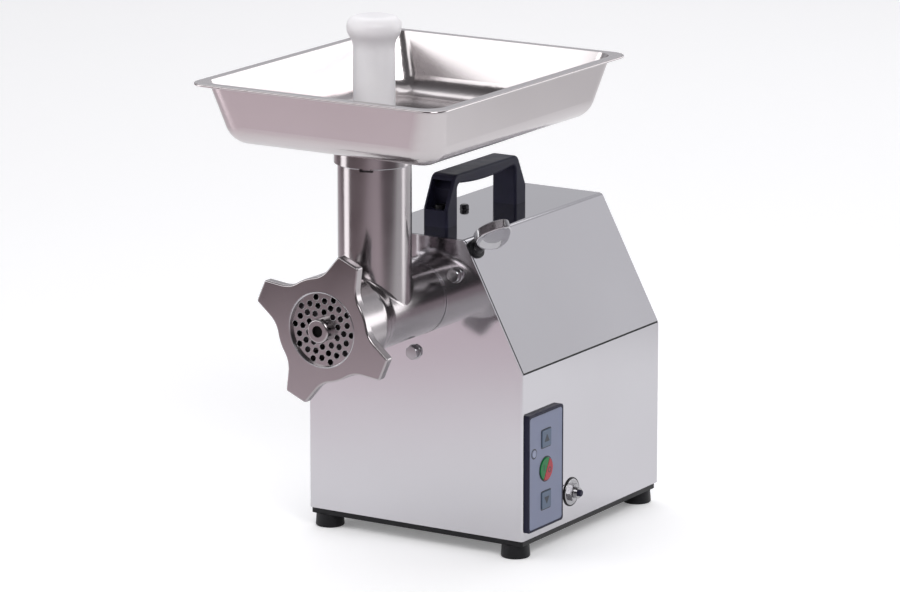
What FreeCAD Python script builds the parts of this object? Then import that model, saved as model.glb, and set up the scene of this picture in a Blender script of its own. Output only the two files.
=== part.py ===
import FreeCAD, Part
import math
import os

from FreeCAD import Vector

# An electric meat grinder: a sheet steel casing on rubber feet, with a motor and gearbox inside,
# a cast mincing head clamped to its front, a feed tray on the head's neck and a pusher in it.
# Millimetres. Z is up, the outlet faces -Y and the keys are on the +X side. The origin is on the
# floor, under the middle of the bounding box.

# Casing
casing_width = 220.0
casing_depth = 234.4
side_height = 148.0
roof_rise = 111.8
roof_width = 101.6
sheet = 1.5
corner_bend = 2.5
roof_bend = 5.0
seam = 1.4
gasket_sunk = 0.5
flange_depth = 14.0
rear_flange = 15.0
sheet_gap = 0.3

# Base plate and feet
base_thickness = 5.0
base_inset = 1.2
foot_height = 12.0
foot_bottom_radius = 13.0
foot_top_radius = 12.0
foot_edge = 1.5
foot_inset_x = 14.0
foot_inset_y = 12.0
foot_screw_radius = 3.0
foot_screw_head = 5.5
foot_screw_sunk = 4.0
foot_nut_flats = 10.0
foot_nut_height = 5.0

# Mincing head
neck_reach = 62.7
neck_radius = 31.7
neck_bore = 27.5
neck_rise = 130.7
neck_blend = 5.0
notch_width = 12.0
notch_depth = 3.5
notch_turn = -70.0
barrel_radius = 33.0
worm_bore = 25.5
drum_radius = 40.0
drum_length = 36.0
drum_taper = 9.0
chamber_radius = 35.2
chamber_room = 2.0
throat_taper = 6.0
rear_wall = 22.0
spigot_radius = 27.0
spigot_depth = 22.0
bush_radius = 17.0

# Plate, knife and worm
plate_reach = 143.4
plate_radius = 35.0
plate_thickness = 7.0
plate_proud = 1.5
plate_hole_radius = 2.65
plate_hole_turn = 14.5
plate_ring_holes = 10
plate_ring_shares = (0.431, 0.589, 0.708, 0.808)
plate_hub_radius = 10.4
plate_hub_proud = 9.2
plate_hub_edge = 1.8
key_radius = 2.0
key_depth = 4.0
knife_thickness = 9.0
knife_reach = 31.5
knife_arm_width = 10.0
knife_hub_radius = 13.5
knife_arms = 4
knife_turn = 45.0
knife_bevel = 35.0
square_drive = 14.0
worm_core = 11.0
worm_outer = 25.0
worm_pitch = 30.0
flight_thickness = 5.0
collar_radius = 20.0
collar_thickness = 4.0
washer_radius = 23.0
washer_thickness = 2.0
journal_radius = 13.9
tang_length = 11.0
tang_width = 24.0
tang_thickness = 8.0
stud_radius = 5.0
stud_sunk = 4.0

# Ring nut
ring_lip = 2.6
ring_opening = 31.75
ring_body = 45.2
ring_depth = 32.0
lobe_reach = 67.2
lobe_width = 21.0
lobe_spread = 62.0
lobe_thickness = 9.0
lobe_corner = 2.4
lobe_fillet = 24.0
lobe_edge = 1.6
lobe_count = 4
lobe_turn = -23.6

# Feed tray, collar and pusher
tray_width = 250.0
tray_length = 316.0
tray_depth = 54.5
tray_back = 59.7
tray_lip = 8.0
tray_lip_thickness = 2.4
tray_lip_round = 1.1
tray_sheet = 1.2
tray_draft = 12.5
tray_corner = 16.0
tray_wall_corner = 19.0
tray_floor_corner = 25.0
tray_bottom_radius = 23.0
collar_wall_radius = 34.8
collar_rise = 16.5
spout_wall = 1.5
spout_length = 12.0
tab_width = 7.0
tab_drop = 1.6
pusher_top_rise = 55.0
pusher_shaft_top = 17.8
pusher_shaft_bottom = 19.0
pusher_knob = 23.5
pusher_knob_height = 23.0
pusher_flare = 9.5
pusher_knob_round = 9.0
pusher_neck_round = 20.0
pusher_flare_round = 13.0
pusher_edge = 3.0

# Head lock: a spade headed thumb screw in a lug of the hub
lock_angle = 40.0
lock_back = 12.0
lock_stem = 4.5
lock_neck = 5.5
lock_neck_length = 11.0
spade_width = 29.0
spade_height = 32.0
spade_sunk = 4.0
spade_thickness = 8.0
spade_edge = 3.0
spade_turn = 28.0
lug_radius = 9.0
lug_end = 15.0
grommet_wall = 1.2
grommet_lip = 1.4
grommet_thickness = 2.4

# Hub and gearbox
hub_nose = 2.7
hub_flange_radius = 43.0
hub_flange = 7.0
hub_barrel_radius = 37.0
bolt_circle = 49.0
bolt_count = 3
bolt_radius = 4.0
bolt_flats = 11.0
bolt_head = 5.3
bolt_lug = 9.0
gearbox_wall = 6.0
gear_room = 4.0
gear_gap = 3.0
roof_gap = 2.0
front_wall = 8.0
rear_wall_thickness = 12.0
module_out = 2.0
module_in = 1.5
teeth_out = 40
teeth_mid_small = 17
teeth_mid_large = 45
teeth_motor = 17
width_out = 18.0
width_in = 12.0
pressure_angle = 20.0
backlash = 0.22
dedendum = 1.25
drive_head_radius = 18.0
output_journal = 12.5
output_tail = 10.0
mid_journal = 7.0
front_bearing_radius = 26.0
front_bearing_width = 15.0
tail_bearing_radius = 21.0
mid_bearing_radius = 14.0
mid_bearing_width = 8.0
case_screw_radius = 2.5
case_screw_head = 4.5

# Motor
motor_radius = 60.0
bell_thickness = 14.0
bell_rim = 5.0
stator_length = 62.0
stator_bore = 36.0
air_gap = 0.6
winding_outer = 52.0
winding_inner = 38.0
winding_length = 9.0
motor_journal = 6.0
motor_shaft_radius = 9.0
motor_bearing_radius = 16.0
motor_bearing_width = 10.0
fan_radius = 48.0
fan_width = 14.0
fan_hub = 14.0
fan_blades = 9
fan_blade_thickness = 2.0
bracket_width = 90.0
bracket_sheet = 4.0
bracket_depth = 40.0

# Carrying handle and roof screw
handle_front = 34.0
handle_length = 133.0
handle_width = 24.5
handle_height = 44.5
handle_leg = 18.0
handle_block = 16.0
handle_lean = 14.0
handle_bar = 8.5
handle_belly = 3.0
handle_top_round = 8.0
handle_inner_round = 5.0
handle_edge = 2.2
pocket_wall = 2.6
pocket_depth = 8.0
pocket_roof = 5.0
handle_screw_radius = 3.0
handle_screw_head = 5.0
handle_screw_rise = 3.5
handle_nut = 1.6
roof_screw_flats = 8.0
roof_screw_rise = 5.0
roof_screw_x = -17.0
roof_screw_back = 110.0

# Control panel
panel_front = 2.7
panel_width = 58.9
panel_bottom = 7.0
panel_height = 104.5
panel_thickness = 4.5
panel_corner = 3.0
panel_border = 2.2
overlay_thickness = 0.8
overlay_sunk = 0.2
key_pitch = 27.6
key_size = 15.0
key_corner = 1.2
round_key_radius = 10.2
round_key_split = 0.8
split_lean = 62.0
key_gap = 0.3
key_proud = 0.9
key_travel = 1.0
key_stem = 2.5
lamp_radius = 3.4
lamp_forward = 20.0
lamp_rise = 17.4
board_depth = 14.0
board_thickness = 1.6
board_edge = 3.0
switch_size = 9.0
switch_height = 4.0
standoff_radius = 3.0

# Overload reset button
reset_back = 82.3
reset_rise = 26.4
reset_plate_radius = 11.8
reset_plate_thickness = 1.4
reset_nut_flats = 14.0
reset_nut_height = 3.2
reset_barrel_radius = 4.8
reset_barrel_out = 8.2
reset_body_radius = 9.0
reset_body_length = 22.0
reset_button_radius = 3.0
reset_button_out = 11.0
reset_travel = 2.5

# Rear panel
vent_rows = 7
vent_length = 46.0
vent_height = 5.0
vent_pitch = 13.0
vent_gap = 16.0
vent_bottom = 46.0
gland_inset = 40.0
gland_rise = 34.0
gland_radius = 9.5
gland_bore = 4.5
gland_out = 12.0
gland_flats = 22.0
gland_nut = 5.0
rear_screw_radius = 2.0
rear_screw_head = 4.0
rear_screw_rise = 2.2
rear_screw_inset = 9.0

# Capacitor
cap_radius = 20.0
cap_length = 78.0
cap_inset = 36.0
cap_back = 60.0
clip_sheet = 1.6
clip_width = 22.0
clip_foot = 10.0

# Fits
running_fit = 0.05
seat_fit = 0.03
slide_fit = 0.06
loose_fit = 0.3
face_gap = 0.1

# Overshoot of cutters past the faces they open
past = 1.0

# Heights that follow from the sizes above
z_base = foot_height
z_steel = z_base + base_thickness
z_shoulder = z_steel + side_height
z_roof = z_shoulder + roof_rise
gear_tip = module_out * (teeth_out / 2 + 1)
gearbox_radius = gear_tip + gear_room + gearbox_wall
z_head = z_roof - sheet - roof_gap - gearbox_radius
z_mid = z_head - module_out * (teeth_out + teeth_mid_small) / 2
z_motor = z_mid - module_in * (teeth_mid_large + teeth_motor) / 2
z_neck = z_head + neck_rise
z_tray = z_neck + collar_rise
z_rim = z_tray + tray_depth
z_pusher = z_rim + pusher_top_rise

# Depths: the front panel's outer face is placed so that the bounding box is centred on the origin
tray_reach = neck_reach - tray_back + tray_length / 2
y_front = (tray_reach - casing_depth - gland_out) / 2
y_back = y_front + casing_depth
y_rear = y_back - sheet
y_neck = y_front - neck_reach
y_plate = y_front - plate_reach
y_plate_back = y_plate + plate_thickness
y_drum = y_plate + plate_proud
y_knife = y_plate_back + face_gap
y_knife_back = y_knife + knife_thickness
y_ring = y_plate - face_gap - ring_lip
y_hub = y_plate - plate_hub_proud
y_stud = y_hub + stud_sunk
y_worm_end = y_front - rear_wall
y_nose = y_front - hub_nose
y_spigot = y_front + spigot_depth
y_drive = y_spigot + loose_fit
y_wall = y_drive + tang_length + 2 * loose_fit
y_bearing = y_wall + 2 * loose_fit
y_gear_out = y_bearing + front_bearing_width + gear_gap
y_gear_in = y_gear_out + width_out + gear_gap
y_case_wall = y_gear_in + width_in + gear_gap
y_motor = y_case_wall + rear_wall_thickness
y_stator = y_motor + bell_thickness
y_stator_end = y_stator + stator_length
y_motor_end = y_stator_end + bell_thickness
y_fan = y_motor_end + gear_gap

# Places across the casing, from its left side
cap_x = cap_inset - casing_width / 2
gland_x = gland_inset - casing_width / 2

slope = (casing_width - roof_width) / 2 / roof_rise
slant = math.hypot(1.0, slope)


def box(x0, x1, y0, y1, z0, z1):
    """Block between two corners."""
    return Part.makeBox(x1 - x0, y1 - y0, z1 - z0, Vector(x0, y0, z0))


def bar_x(radius, x0, x1, y, z):
    """Round bar along X."""
    return Part.makeCylinder(radius, x1 - x0, Vector(x0, y, z), Vector(1, 0, 0))


def bar_y(radius, y0, y1, x, z):
    """Round bar along Y."""
    return Part.makeCylinder(radius, y1 - y0, Vector(x, y0, z), Vector(0, 1, 0))


def bar_z(radius, z0, z1, x, y):
    """Round bar along Z."""
    return Part.makeCylinder(radius, z1 - z0, Vector(x, y, z0), Vector(0, 0, 1))


def fuse(shapes):
    """One solid from pieces that touch or overlap."""
    return shapes[0].multiFuse(shapes[1:]).removeSplitter()


def in_xy(z):
    """Puts outline points on a level plane."""
    return lambda u, v: Vector(u, v, z)


def in_xz(y):
    """Puts outline points on a plane square to the head's axis."""
    return lambda u, v: Vector(u, y, v)


def in_yz(x):
    """Puts outline points on a plane beside the casing."""
    return lambda u, v: Vector(x, u, v)


def outline(corners, place):
    """Closed wire through (u, v) or (u, v, radius) corners, each rounded by its own radius."""
    bends = []
    for i, corner in enumerate(corners):
        here = Vector(corner[0], corner[1], 0)
        radius = corner[2] if len(corner) > 2 else 0.0
        before = corners[i - 1]
        after = corners[(i + 1) % len(corners)]
        back = (Vector(before[0], before[1], 0) - here).normalize()
        ahead = (Vector(after[0], after[1], 0) - here).normalize()
        half = back.getAngle(ahead) / 2
        inward = (back + ahead).normalize() if radius > 0 else Vector()
        reach = radius / math.tan(half)
        middle = here + inward * (radius / math.sin(half) - radius)
        bends.append((here + back * reach, middle, here + ahead * reach, radius))
    edges = []
    for i, (start, middle, end, radius) in enumerate(bends):
        spots = [place(p.x, p.y) for p in (start, middle, end)]
        if radius > 0:
            edges.append(Part.Arc(*spots).toShape())
        following = bends[(i + 1) % len(bends)][0]
        if (following - end).Length > 1e-6:
            edges.append(Part.makeLine(spots[2], place(following.x, following.y)))
    return Part.Wire(edges)


def prism(wires, along):
    """Solid drawn along a vector from an outer wire and any inner wires."""
    return Part.Face(wires).extrude(along)


def rectangle(u0, u1, v0, v1, radius, place):
    """Rectangle with rounded corners."""
    return outline([(u0, v0, radius), (u1, v0, radius), (u1, v1, radius), (u0, v1, radius)], place)


def hexagon(flats, place, u=0.0, v=0.0):
    """Hexagon by its width across flats, about (u, v)."""
    corner = flats / 2 / math.cos(math.pi / 6)
    turns = [math.radians(60 * i) for i in range(6)]
    return outline([(u + corner * math.cos(a), v + corner * math.sin(a)) for a in turns], place)


def turned_y(points, z):
    """Solid turned about the Y axis at height z from (y, radius) points."""
    spots = [Vector(0, y, z + radius) for y, radius in points]
    face = Part.Face(Part.makePolygon(spots + spots[:1]))
    return face.revolve(Vector(0, 0, z), Vector(0, 1, 0), 360)


def turned_z(corners, y):
    """Solid turned about the Z axis at depth y from (radius, z, rounding) corners."""
    wire = outline(corners, lambda u, v: Vector(u, y, v))
    return Part.Face(wire).revolve(Vector(0, y, 0), Vector(0, 0, 1), 360)


def edges_where(shape, test):
    """Edges of a shape whose end points all pass a test."""
    return [e for e in shape.Edges if all(test(v.Point) for v in e.Vertexes)]


def at(value, target):
    """True where two lengths agree."""
    return abs(value - target) < 1e-4


def half_width(z, inset=0.0):
    """Half the casing's width at a height on its slanted sides, inset square to the sheet."""
    return casing_width / 2 - (z - z_shoulder) * slope - inset * slant


def slanted_top(z_low, inset, bend, place):
    """Outline of the casing's upper part, from z_low up, inset by a distance all round."""
    top = z_roof - inset
    low = half_width(z_low, inset)
    high = half_width(top, inset)
    return outline([(-low, z_low), (low, z_low), (high, top, bend), (-high, top, bend)], place)


def slanted_band(z_low, outer, inner, y0, y1):
    """Bent strip that follows the casing's upper part between two insets, open below."""
    wires = [slanted_top(z_low, outer, roof_bend - min(outer, sheet), in_xz(y0)),
             slanted_top(z_low - roof_rise / 4, inner, roof_bend - sheet, in_xz(y0))]
    along = Vector(0, y1 - y0, 0)
    return prism([wires[0]], along).cut(prism([wires[1]], along))


def bolt_spots():
    """Middles of the hub bolts, as (x, z)."""
    turns = [math.radians(360 / bolt_count * i - 90) for i in range(bolt_count)]
    return [(bolt_circle * math.cos(a), z_head + bolt_circle * math.sin(a)) for a in turns]


def foot_spots():
    """Middles of the feet, by the corner's name."""
    x = casing_width / 2 - foot_inset_x
    ys = {"front": y_front + foot_inset_y, "rear": y_back - foot_inset_y}
    return {f"{end}_{side}": (sign * x, y) for end, y in ys.items()
            for side, sign in (("left", -1), ("right", 1))}


def handle_screw_spots():
    """Depths of the handle's two screws."""
    y0 = y_front + handle_front
    return [y0 + handle_leg / 2, y0 + handle_length - handle_leg / 2]


def rear_screw_spots():
    """Places of the rear panel's screws, as (x, z)."""
    side = casing_width / 2 - rear_screw_inset
    top = z_roof - rear_screw_inset
    shoulder = z_shoulder - rear_screw_inset
    high = roof_width / 2 - rear_screw_inset
    spots = [(side, z_steel + rear_screw_inset), (side, shoulder), (high, top)]
    return [(sign * x, z) for x, z in spots for sign in (-1, 1)]


# The control panel's face and the places of its keys
x_side = casing_width / 2
x_panel = x_side + panel_thickness
y_panel = y_front + panel_front
y_keys = y_panel + panel_width / 2
z_panel = z_steel + panel_bottom
z_keys = z_panel + panel_height / 2
key_spots = {"forward_key": (y_keys, z_keys + key_pitch),
             "reverse_key": (y_keys, z_keys - key_pitch)}
lamp_spot = (y_keys - lamp_forward, z_keys + lamp_rise)
x_board = x_side - sheet - board_depth
y_reset = y_front + reset_back
z_reset = z_steel + reset_rise


def body_shell():
    """Front and both sides, bent from one sheet, with the front going up to the roof."""
    low = [(-x_side, y_rear), (-x_side, y_front, corner_bend), (x_side, y_front, corner_bend),
           (x_side, y_rear), (x_side - sheet, y_rear),
           (x_side - sheet, y_front + sheet, corner_bend - sheet),
           (-x_side + sheet, y_front + sheet, corner_bend - sheet), (-x_side + sheet, y_rear)]
    wrap = prism([outline(low, in_xy(z_steel))], Vector(0, 0, side_height))
    upper = slanted_top(z_shoulder, 0.0, roof_bend, in_xz(y_front))
    plate = prism([upper], Vector(0, sheet, 0))
    inset = sheet + sheet_gap
    flange = slanted_band(z_shoulder, inset, inset + sheet, y_front + sheet, y_front + flange_depth)
    y_tab = y_rear - sheet
    tabs = [box(*sorted((sign * x_side, sign * (x_side - rear_flange))), y_tab, y_rear, z_steel, z_shoulder)
            for sign in (-1, 1)]
    shell = fuse([wrap, plate, flange] + tabs)
    holes = [bar_y(barrel_radius + loose_fit, y_front - past, y_front + sheet + past, 0, z_head)]
    for x, z in bolt_spots():
        holes.append(bar_y(bolt_radius + running_fit, y_front - past, y_front + sheet + past, x, z))
    for y, z in list(key_spots.values()) + half_key_stems():
        holes.append(bar_x(key_stem + loose_fit, x_side - 2 * sheet, x_side + past, y, z))
    holes.append(bar_x(lamp_radius + seat_fit, x_side - 2 * sheet, x_side + past, *lamp_spot))
    holes.append(reset_hole(x_side - 2 * sheet, x_side + past))
    holes.append(lock_bar(grommet_waist() + grommet_lip + loose_fit, lock_start() - lug_end, lock_start()))
    return shell.cut(holes + rear_screw_bars(y_tab - past, y_rear + past))


def roof_cover():
    """Top and both slanted sides, bent from one sheet."""
    z_low = z_shoulder + seam
    cover = slanted_band(z_low, 0.0, sheet, y_front + sheet + seam, y_rear)
    tab = slanted_band(z_low, 0.0, rear_flange, y_rear - sheet, y_rear)
    cover = fuse([cover, tab])
    holes = [lock_bar(grommet_waist(), lock_start() - lug_end, lock_start() + lug_end)]
    holes += rear_screw_bars(y_rear - 2 * sheet, y_rear + past)
    for y in handle_screw_spots():
        holes.append(bar_z(handle_screw_radius + seat_fit, z_roof - 2 * sheet, z_roof + past, 0, y))
    spot = (roof_screw_x, y_front + roof_screw_back)
    holes.append(bar_z(handle_screw_radius + seat_fit, z_roof - 2 * sheet, z_roof + past, *spot))
    return cover.cut(holes)


def rear_panel():
    """Back sheet with rows of vent slots, the cable gland's hole and screw holes."""
    corners = [(-x_side, z_steel), (x_side, z_steel), (x_side, z_shoulder),
               (roof_width / 2, z_roof, roof_bend), (-roof_width / 2, z_roof, roof_bend),
               (-x_side, z_shoulder)]
    panel = prism([outline(corners, in_xz(y_rear))], Vector(0, sheet, 0))
    cuts = [bar_y(gland_radius + seat_fit, y_rear - past, y_back + past, gland_x, z_steel + gland_rise)]
    cuts += rear_screw_bars(y_rear - past, y_back + past)
    for row in range(vent_rows):
        z = z_steel + vent_bottom + row * vent_pitch
        for u0 in (-vent_gap / 2 - vent_length, vent_gap / 2):
            slot = rectangle(u0, u0 + vent_length, z, z + vent_height, vent_height / 2,
                             in_xz(y_rear - past))
            cuts.append(prism([slot], Vector(0, sheet + 2 * past, 0)))
    return panel.cut(cuts)


def rear_screw_bars(y0, y1):
    """The rear screws' holes, as bars from y0 to y1."""
    return [bar_y(rear_screw_radius + seat_fit, y0, y1, x, z) for x, z in rear_screw_spots()]


def rear_screws():
    """Pan head screws that hold the rear panel."""
    screws = []
    for x, z in rear_screw_spots():
        head = bar_y(rear_screw_head, y_back, y_back + rear_screw_rise, x, z)
        shank = bar_y(rear_screw_radius, y_back - sheet - rear_screw_inset / 2, y_back, x, z)
        rim = edges_where(head, lambda p: at(p.y, y_back + rear_screw_rise))
        screws.append(fuse([head.makeFillet(rear_screw_rise / 2, rim), shank]))
    return Part.makeCompound(screws)


def cover_gasket():
    """Rubber strip in the seams between the roof cover, the front and the sides."""
    front = slanted_band(z_shoulder, gasket_sunk, sheet, y_front + sheet, y_front + sheet + seam)
    strips = [front]
    z_top = z_shoulder + seam
    places = [(z_shoulder, sheet), (z_shoulder, gasket_sunk), (z_top, gasket_sunk), (z_top, sheet)]
    for sign in (-1, 1):
        wire = outline([(sign * half_width(z, inset), z) for z, inset in places], in_xz(y_front + sheet))
        strips.append(prism([wire], Vector(0, y_rear - y_front - sheet, 0)))
    return fuse(strips)


def base_plate():
    """Steel plate under the casing, with the foot screws' holes."""
    wire = rectangle(-x_side + base_inset, x_side - base_inset, y_front + base_inset,
                     y_back - base_inset, corner_bend, in_xy(z_base))
    plate = prism([wire], Vector(0, 0, base_thickness))
    holes = [bar_z(foot_screw_radius + seat_fit, z_base - past, z_steel + past, x, y)
             for x, y in foot_spots().values()]
    return plate.cut(holes)


def foot(x, y):
    """Rubber foot, tapered, with a counterbore for its screw."""
    cone = Part.makeCone(foot_bottom_radius, foot_top_radius, foot_height, Vector(x, y, 0))
    body = cone.makeFillet(foot_edge, edges_where(cone, lambda p: at(p.z, 0)))
    well = bar_z(foot_screw_head + loose_fit, -past, foot_screw_sunk + foot_screw_sunk / 2, x, y)
    return body.cut([well, bar_z(foot_screw_radius + seat_fit, -past, foot_height + past, x, y)])


def foot_screws():
    """Screws up through the feet and the base plate, each with a nut above it."""
    screws = []
    seat = foot_screw_sunk + foot_screw_sunk / 2
    for x, y in foot_spots().values():
        head = bar_z(foot_screw_head, foot_screw_sunk / 2, seat, x, y)
        shank = bar_z(foot_screw_radius, seat, z_steel + foot_nut_height, x, y)
        nut = prism([hexagon(foot_nut_flats, in_xy(z_steel), x, y)], Vector(0, 0, foot_nut_height))
        screws.append(fuse([head, shank, nut]))
    return Part.makeCompound(screws)


def carry_handle():
    """Bridge handle with leaning ends, a finger bulge under its bar and a pocket in each end."""
    y0 = y_front + handle_front
    y1 = y0 + handle_length
    top = z_roof + handle_height
    block = z_roof + handle_block
    under = top - handle_bar
    corners = [(y0, z_roof), (y0, block, handle_edge), (y0 + handle_lean, top, handle_top_round),
               (y1 - handle_lean, top, handle_top_round), (y1, block, handle_edge), (y1, z_roof),
               (y1 - handle_leg, z_roof), (y1 - handle_leg, under, handle_inner_round),
               (y0 + handle_leg, under, handle_inner_round), (y0 + handle_leg, z_roof)]
    x0 = -handle_width / 2
    along = Vector(handle_width, 0, 0)
    frame = prism([outline(corners, in_yz(x0))], along)
    ends = [y0 + handle_leg + handle_inner_round, y1 - handle_leg - handle_inner_round]
    spots = [Vector(x0, ends[0], under), Vector(x0, sum(ends) / 2, under - handle_belly),
             Vector(x0, ends[1], under)]
    belly = prism([Part.Wire([Part.Arc(*spots).toShape(), Part.makeLine(spots[2], spots[0])])], along)
    grip = fuse([frame, belly])
    sides = (-handle_width / 2, handle_width / 2)
    flat = [e for e in grip.Edges if at(e.BoundBox.XLength, 0) and e.BoundBox.ZMax > z_roof + handle_edge]
    rims = [e for e in flat if any(at(e.BoundBox.XMin, side) for side in sides)]
    grip = grip.makeFillet(handle_edge, rims)
    cuts = []
    for sign, y in ((1, y0), (-1, y1)):
        low = block - handle_edge / 2
        high = top - pocket_roof
        mouth = y - sign * handle_lean
        back = y + sign * (handle_leg - pocket_wall)
        pocket = [(mouth, low), (back, low), (back, under - handle_inner_round),
                  (y + sign * (handle_lean + pocket_depth), high), (mouth, high)]
        wire = outline(pocket, in_yz(x0 + pocket_wall))
        cuts.append(prism([wire], Vector(handle_width - 2 * pocket_wall, 0, 0)))
    for y in handle_screw_spots():
        cuts.append(bar_z(handle_screw_radius + seat_fit, z_roof - past, block + past, 0, y))
    return grip.cut(cuts)


def handle_screws():
    """Screws down through the handle's pockets and the roof, each with a nut below."""
    screws = []
    block = z_roof + handle_block - handle_edge / 2
    for y in handle_screw_spots():
        head = bar_z(handle_screw_head, block, block + handle_screw_rise, 0, y)
        below = z_roof - sheet - handle_nut
        shank = bar_z(handle_screw_radius, below, block, 0, y)
        nut = prism([hexagon(foot_nut_flats, in_xy(below), 0, y)],
                    Vector(0, 0, handle_nut))
        screws.append(fuse([head, shank, nut]))
    return Part.makeCompound(screws)


def roof_screw():
    """Small hexagon screw in the roof, behind the handle's left side."""
    x = roof_screw_x
    y = y_front + roof_screw_back
    head = prism([hexagon(roof_screw_flats, in_xy(z_roof), x, y)], Vector(0, 0, roof_screw_rise))
    shank = bar_z(handle_screw_radius, z_roof - sheet - roof_screw_rise, z_roof, x, y)
    return fuse([head, shank])


def half_key_stems():
    """Stem middles of the two halves of the round key, start first, as (y, z)."""
    turn = math.radians(split_lean)
    reach = round_key_radius / 2
    across = (-math.sin(turn) * reach, math.cos(turn) * reach)
    return [(y_keys + across[0], z_keys + across[1]), (y_keys - across[0], z_keys - across[1])]


def key_wells(x0, x1):
    """The keys' and the lamp's openings in the panel, as bars from x0 to x1."""
    along = Vector(x1 - x0, 0, 0)
    half = key_size / 2 + key_gap
    wells = []
    for y, z in key_spots.values():
        wire = rectangle(y - half, y + half, z - half, z + half, key_corner + key_gap, in_yz(x0))
        wells.append(prism([wire], along))
    wells.append(bar_x(round_key_radius + key_gap, x0, x1, y_keys, z_keys))
    wells.append(bar_x(lamp_radius + seat_fit, x0, x1, *lamp_spot))
    return wells


def panel_bezel():
    """Raised frame that carries the keys, with a shallow bed for the printed overlay."""
    wire = rectangle(y_panel, y_panel + panel_width, z_panel, z_panel + panel_height,
                     panel_corner, in_yz(x_side))
    block = prism([wire], Vector(panel_thickness, 0, 0))
    block = block.makeFillet(overlay_thickness, edges_where(block, lambda p: at(p.x, x_panel)))
    bed = overlay_bed(x_panel - overlay_thickness - overlay_sunk, 2 * overlay_thickness, 0.0)
    return block.cut([bed] + key_wells(x_side - past, x_panel + past))


def overlay_bed(x0, depth, gap):
    """The overlay's outline drawn along X, smaller all round by a gap."""
    edge = panel_border + gap
    wire = rectangle(y_panel + edge, y_panel + panel_width - edge, z_panel + edge,
                     z_panel + panel_height - edge, panel_corner - gap, in_yz(x0))
    return prism([wire], Vector(depth, 0, 0))


def panel_overlay():
    """Printed sheet in the bezel's bed, with openings for the keys."""
    x0 = x_panel - overlay_thickness - overlay_sunk
    return overlay_bed(x0, overlay_thickness, key_gap / 2).cut(key_wells(x0 - past, x_panel + past))


def key_stem_bar(y, z):
    """Stem from a key's cap back to its switch, with room for the key's travel."""
    return bar_x(key_stem, x_board + switch_height + key_travel + loose_fit, x_side + key_travel, y, z)


def square_key(y, z):
    """Square key cap with its stem."""
    half = key_size / 2
    wire = rectangle(y - half, y + half, z - half, z + half, key_corner, in_yz(x_side + key_travel))
    cap = prism([wire], Vector(panel_thickness - key_travel + key_proud, 0, 0))
    cap = cap.makeFillet(key_proud / 2, edges_where(cap, lambda p: at(p.x, x_panel + key_proud)))
    return fuse([cap, key_stem_bar(y, z)])


def half_key(index):
    """One half of the round key: 0 is start, on the upper left of the split, and 1 is stop."""
    turn = math.radians(split_lean)
    x0 = x_side + key_travel
    disc = bar_x(round_key_radius, x0, x_panel + key_proud, y_keys, z_keys)
    disc = disc.makeFillet(key_proud / 2, edges_where(disc, lambda p: at(p.x, x_panel + key_proud)))
    span = 2 * round_key_radius
    cutter = box(0, 2 * panel_thickness, -span, span, -span, round_key_split / 2)
    if index == 1:
        cutter = box(0, 2 * panel_thickness, -span, span, -round_key_split / 2, span)
    cutter.rotate(Vector(), Vector(1, 0, 0), math.degrees(turn))
    cutter.translate(Vector(x0 - past, y_keys, z_keys))
    return fuse([disc.cut(cutter), key_stem_bar(*half_key_stems()[index])])


def indicator_lamp():
    """Lens of the lamp, from the panel's face back to the board."""
    lens = bar_x(lamp_radius, x_board, x_panel + key_proud / 2, *lamp_spot)
    rim = edges_where(lens, lambda p: at(p.x, x_panel + key_proud / 2))
    return lens.makeFillet(key_proud / 2, rim)


def control_board():
    """Circuit board on four posts behind the keys, with a switch under each stem."""
    y0, y1 = y_panel + board_edge, y_panel + panel_width - board_edge
    board = box(x_board - board_thickness, x_board, y0 + sheet, y1, z_panel + board_edge,
                z_panel + panel_height - board_edge)
    blocks = [board]
    half = switch_size / 2
    for y, z in list(key_spots.values()) + half_key_stems():
        blocks.append(box(x_board, x_board + switch_height, y - half, y + half, z - half, z + half))
    inset = board_edge + 2 * standoff_radius
    for y in (y_panel + inset, y_panel + panel_width - inset):
        for z in (z_panel + inset, z_panel + panel_height - inset):
            blocks.append(bar_x(standoff_radius, x_board, x_side - sheet, y, z))
    return fuse(blocks)


def reset_hole(x0, x1):
    """Hole for the overload switch's barrel, as a bar from x0 to x1."""
    return bar_x(reset_barrel_radius + seat_fit, x0, x1, y_reset, z_reset)


def reset_plate():
    """Round chromed plate under the reset button's nut."""
    plate = bar_x(reset_plate_radius, x_side, x_side + reset_plate_thickness, y_reset, z_reset)
    rim = edges_where(plate, lambda p: at(p.x, x_side + reset_plate_thickness))
    plate = plate.makeFillet(reset_plate_thickness / 2, rim)
    return plate.cut(reset_hole(x_side - past, x_side + reset_plate_thickness + past))


def reset_nut():
    """Hexagon nut that clamps the overload switch to the casing."""
    x0 = x_side + reset_plate_thickness
    nut = prism([hexagon(reset_nut_flats, in_yz(x0), y_reset, z_reset)], Vector(reset_nut_height, 0, 0))
    x1 = x0 + reset_nut_height
    round_bar = bar_x(reset_nut_flats / 2 / math.cos(math.pi / 6), x0, x1, y_reset, z_reset)
    rim = edges_where(round_bar, lambda p: at(p.x, x1))
    nut = nut.common(round_bar.makeChamfer(reset_nut_height / 4, rim))
    return nut.cut(reset_hole(x0 - past, x1 + past))


def overload_switch():
    """Switch body inside the casing, with the barrel that comes out through it."""
    x_inner = x_side - sheet
    body = bar_x(reset_body_radius, x_inner - reset_body_length, x_inner, y_reset, z_reset)
    barrel = bar_x(reset_barrel_radius, x_inner, x_side + reset_barrel_out, y_reset, z_reset)
    bore = bar_x(reset_button_radius + running_fit, x_inner - 2 * reset_travel,
                 x_side + reset_barrel_out + past, y_reset, z_reset)
    return fuse([body, barrel]).cut(bore)


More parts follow.
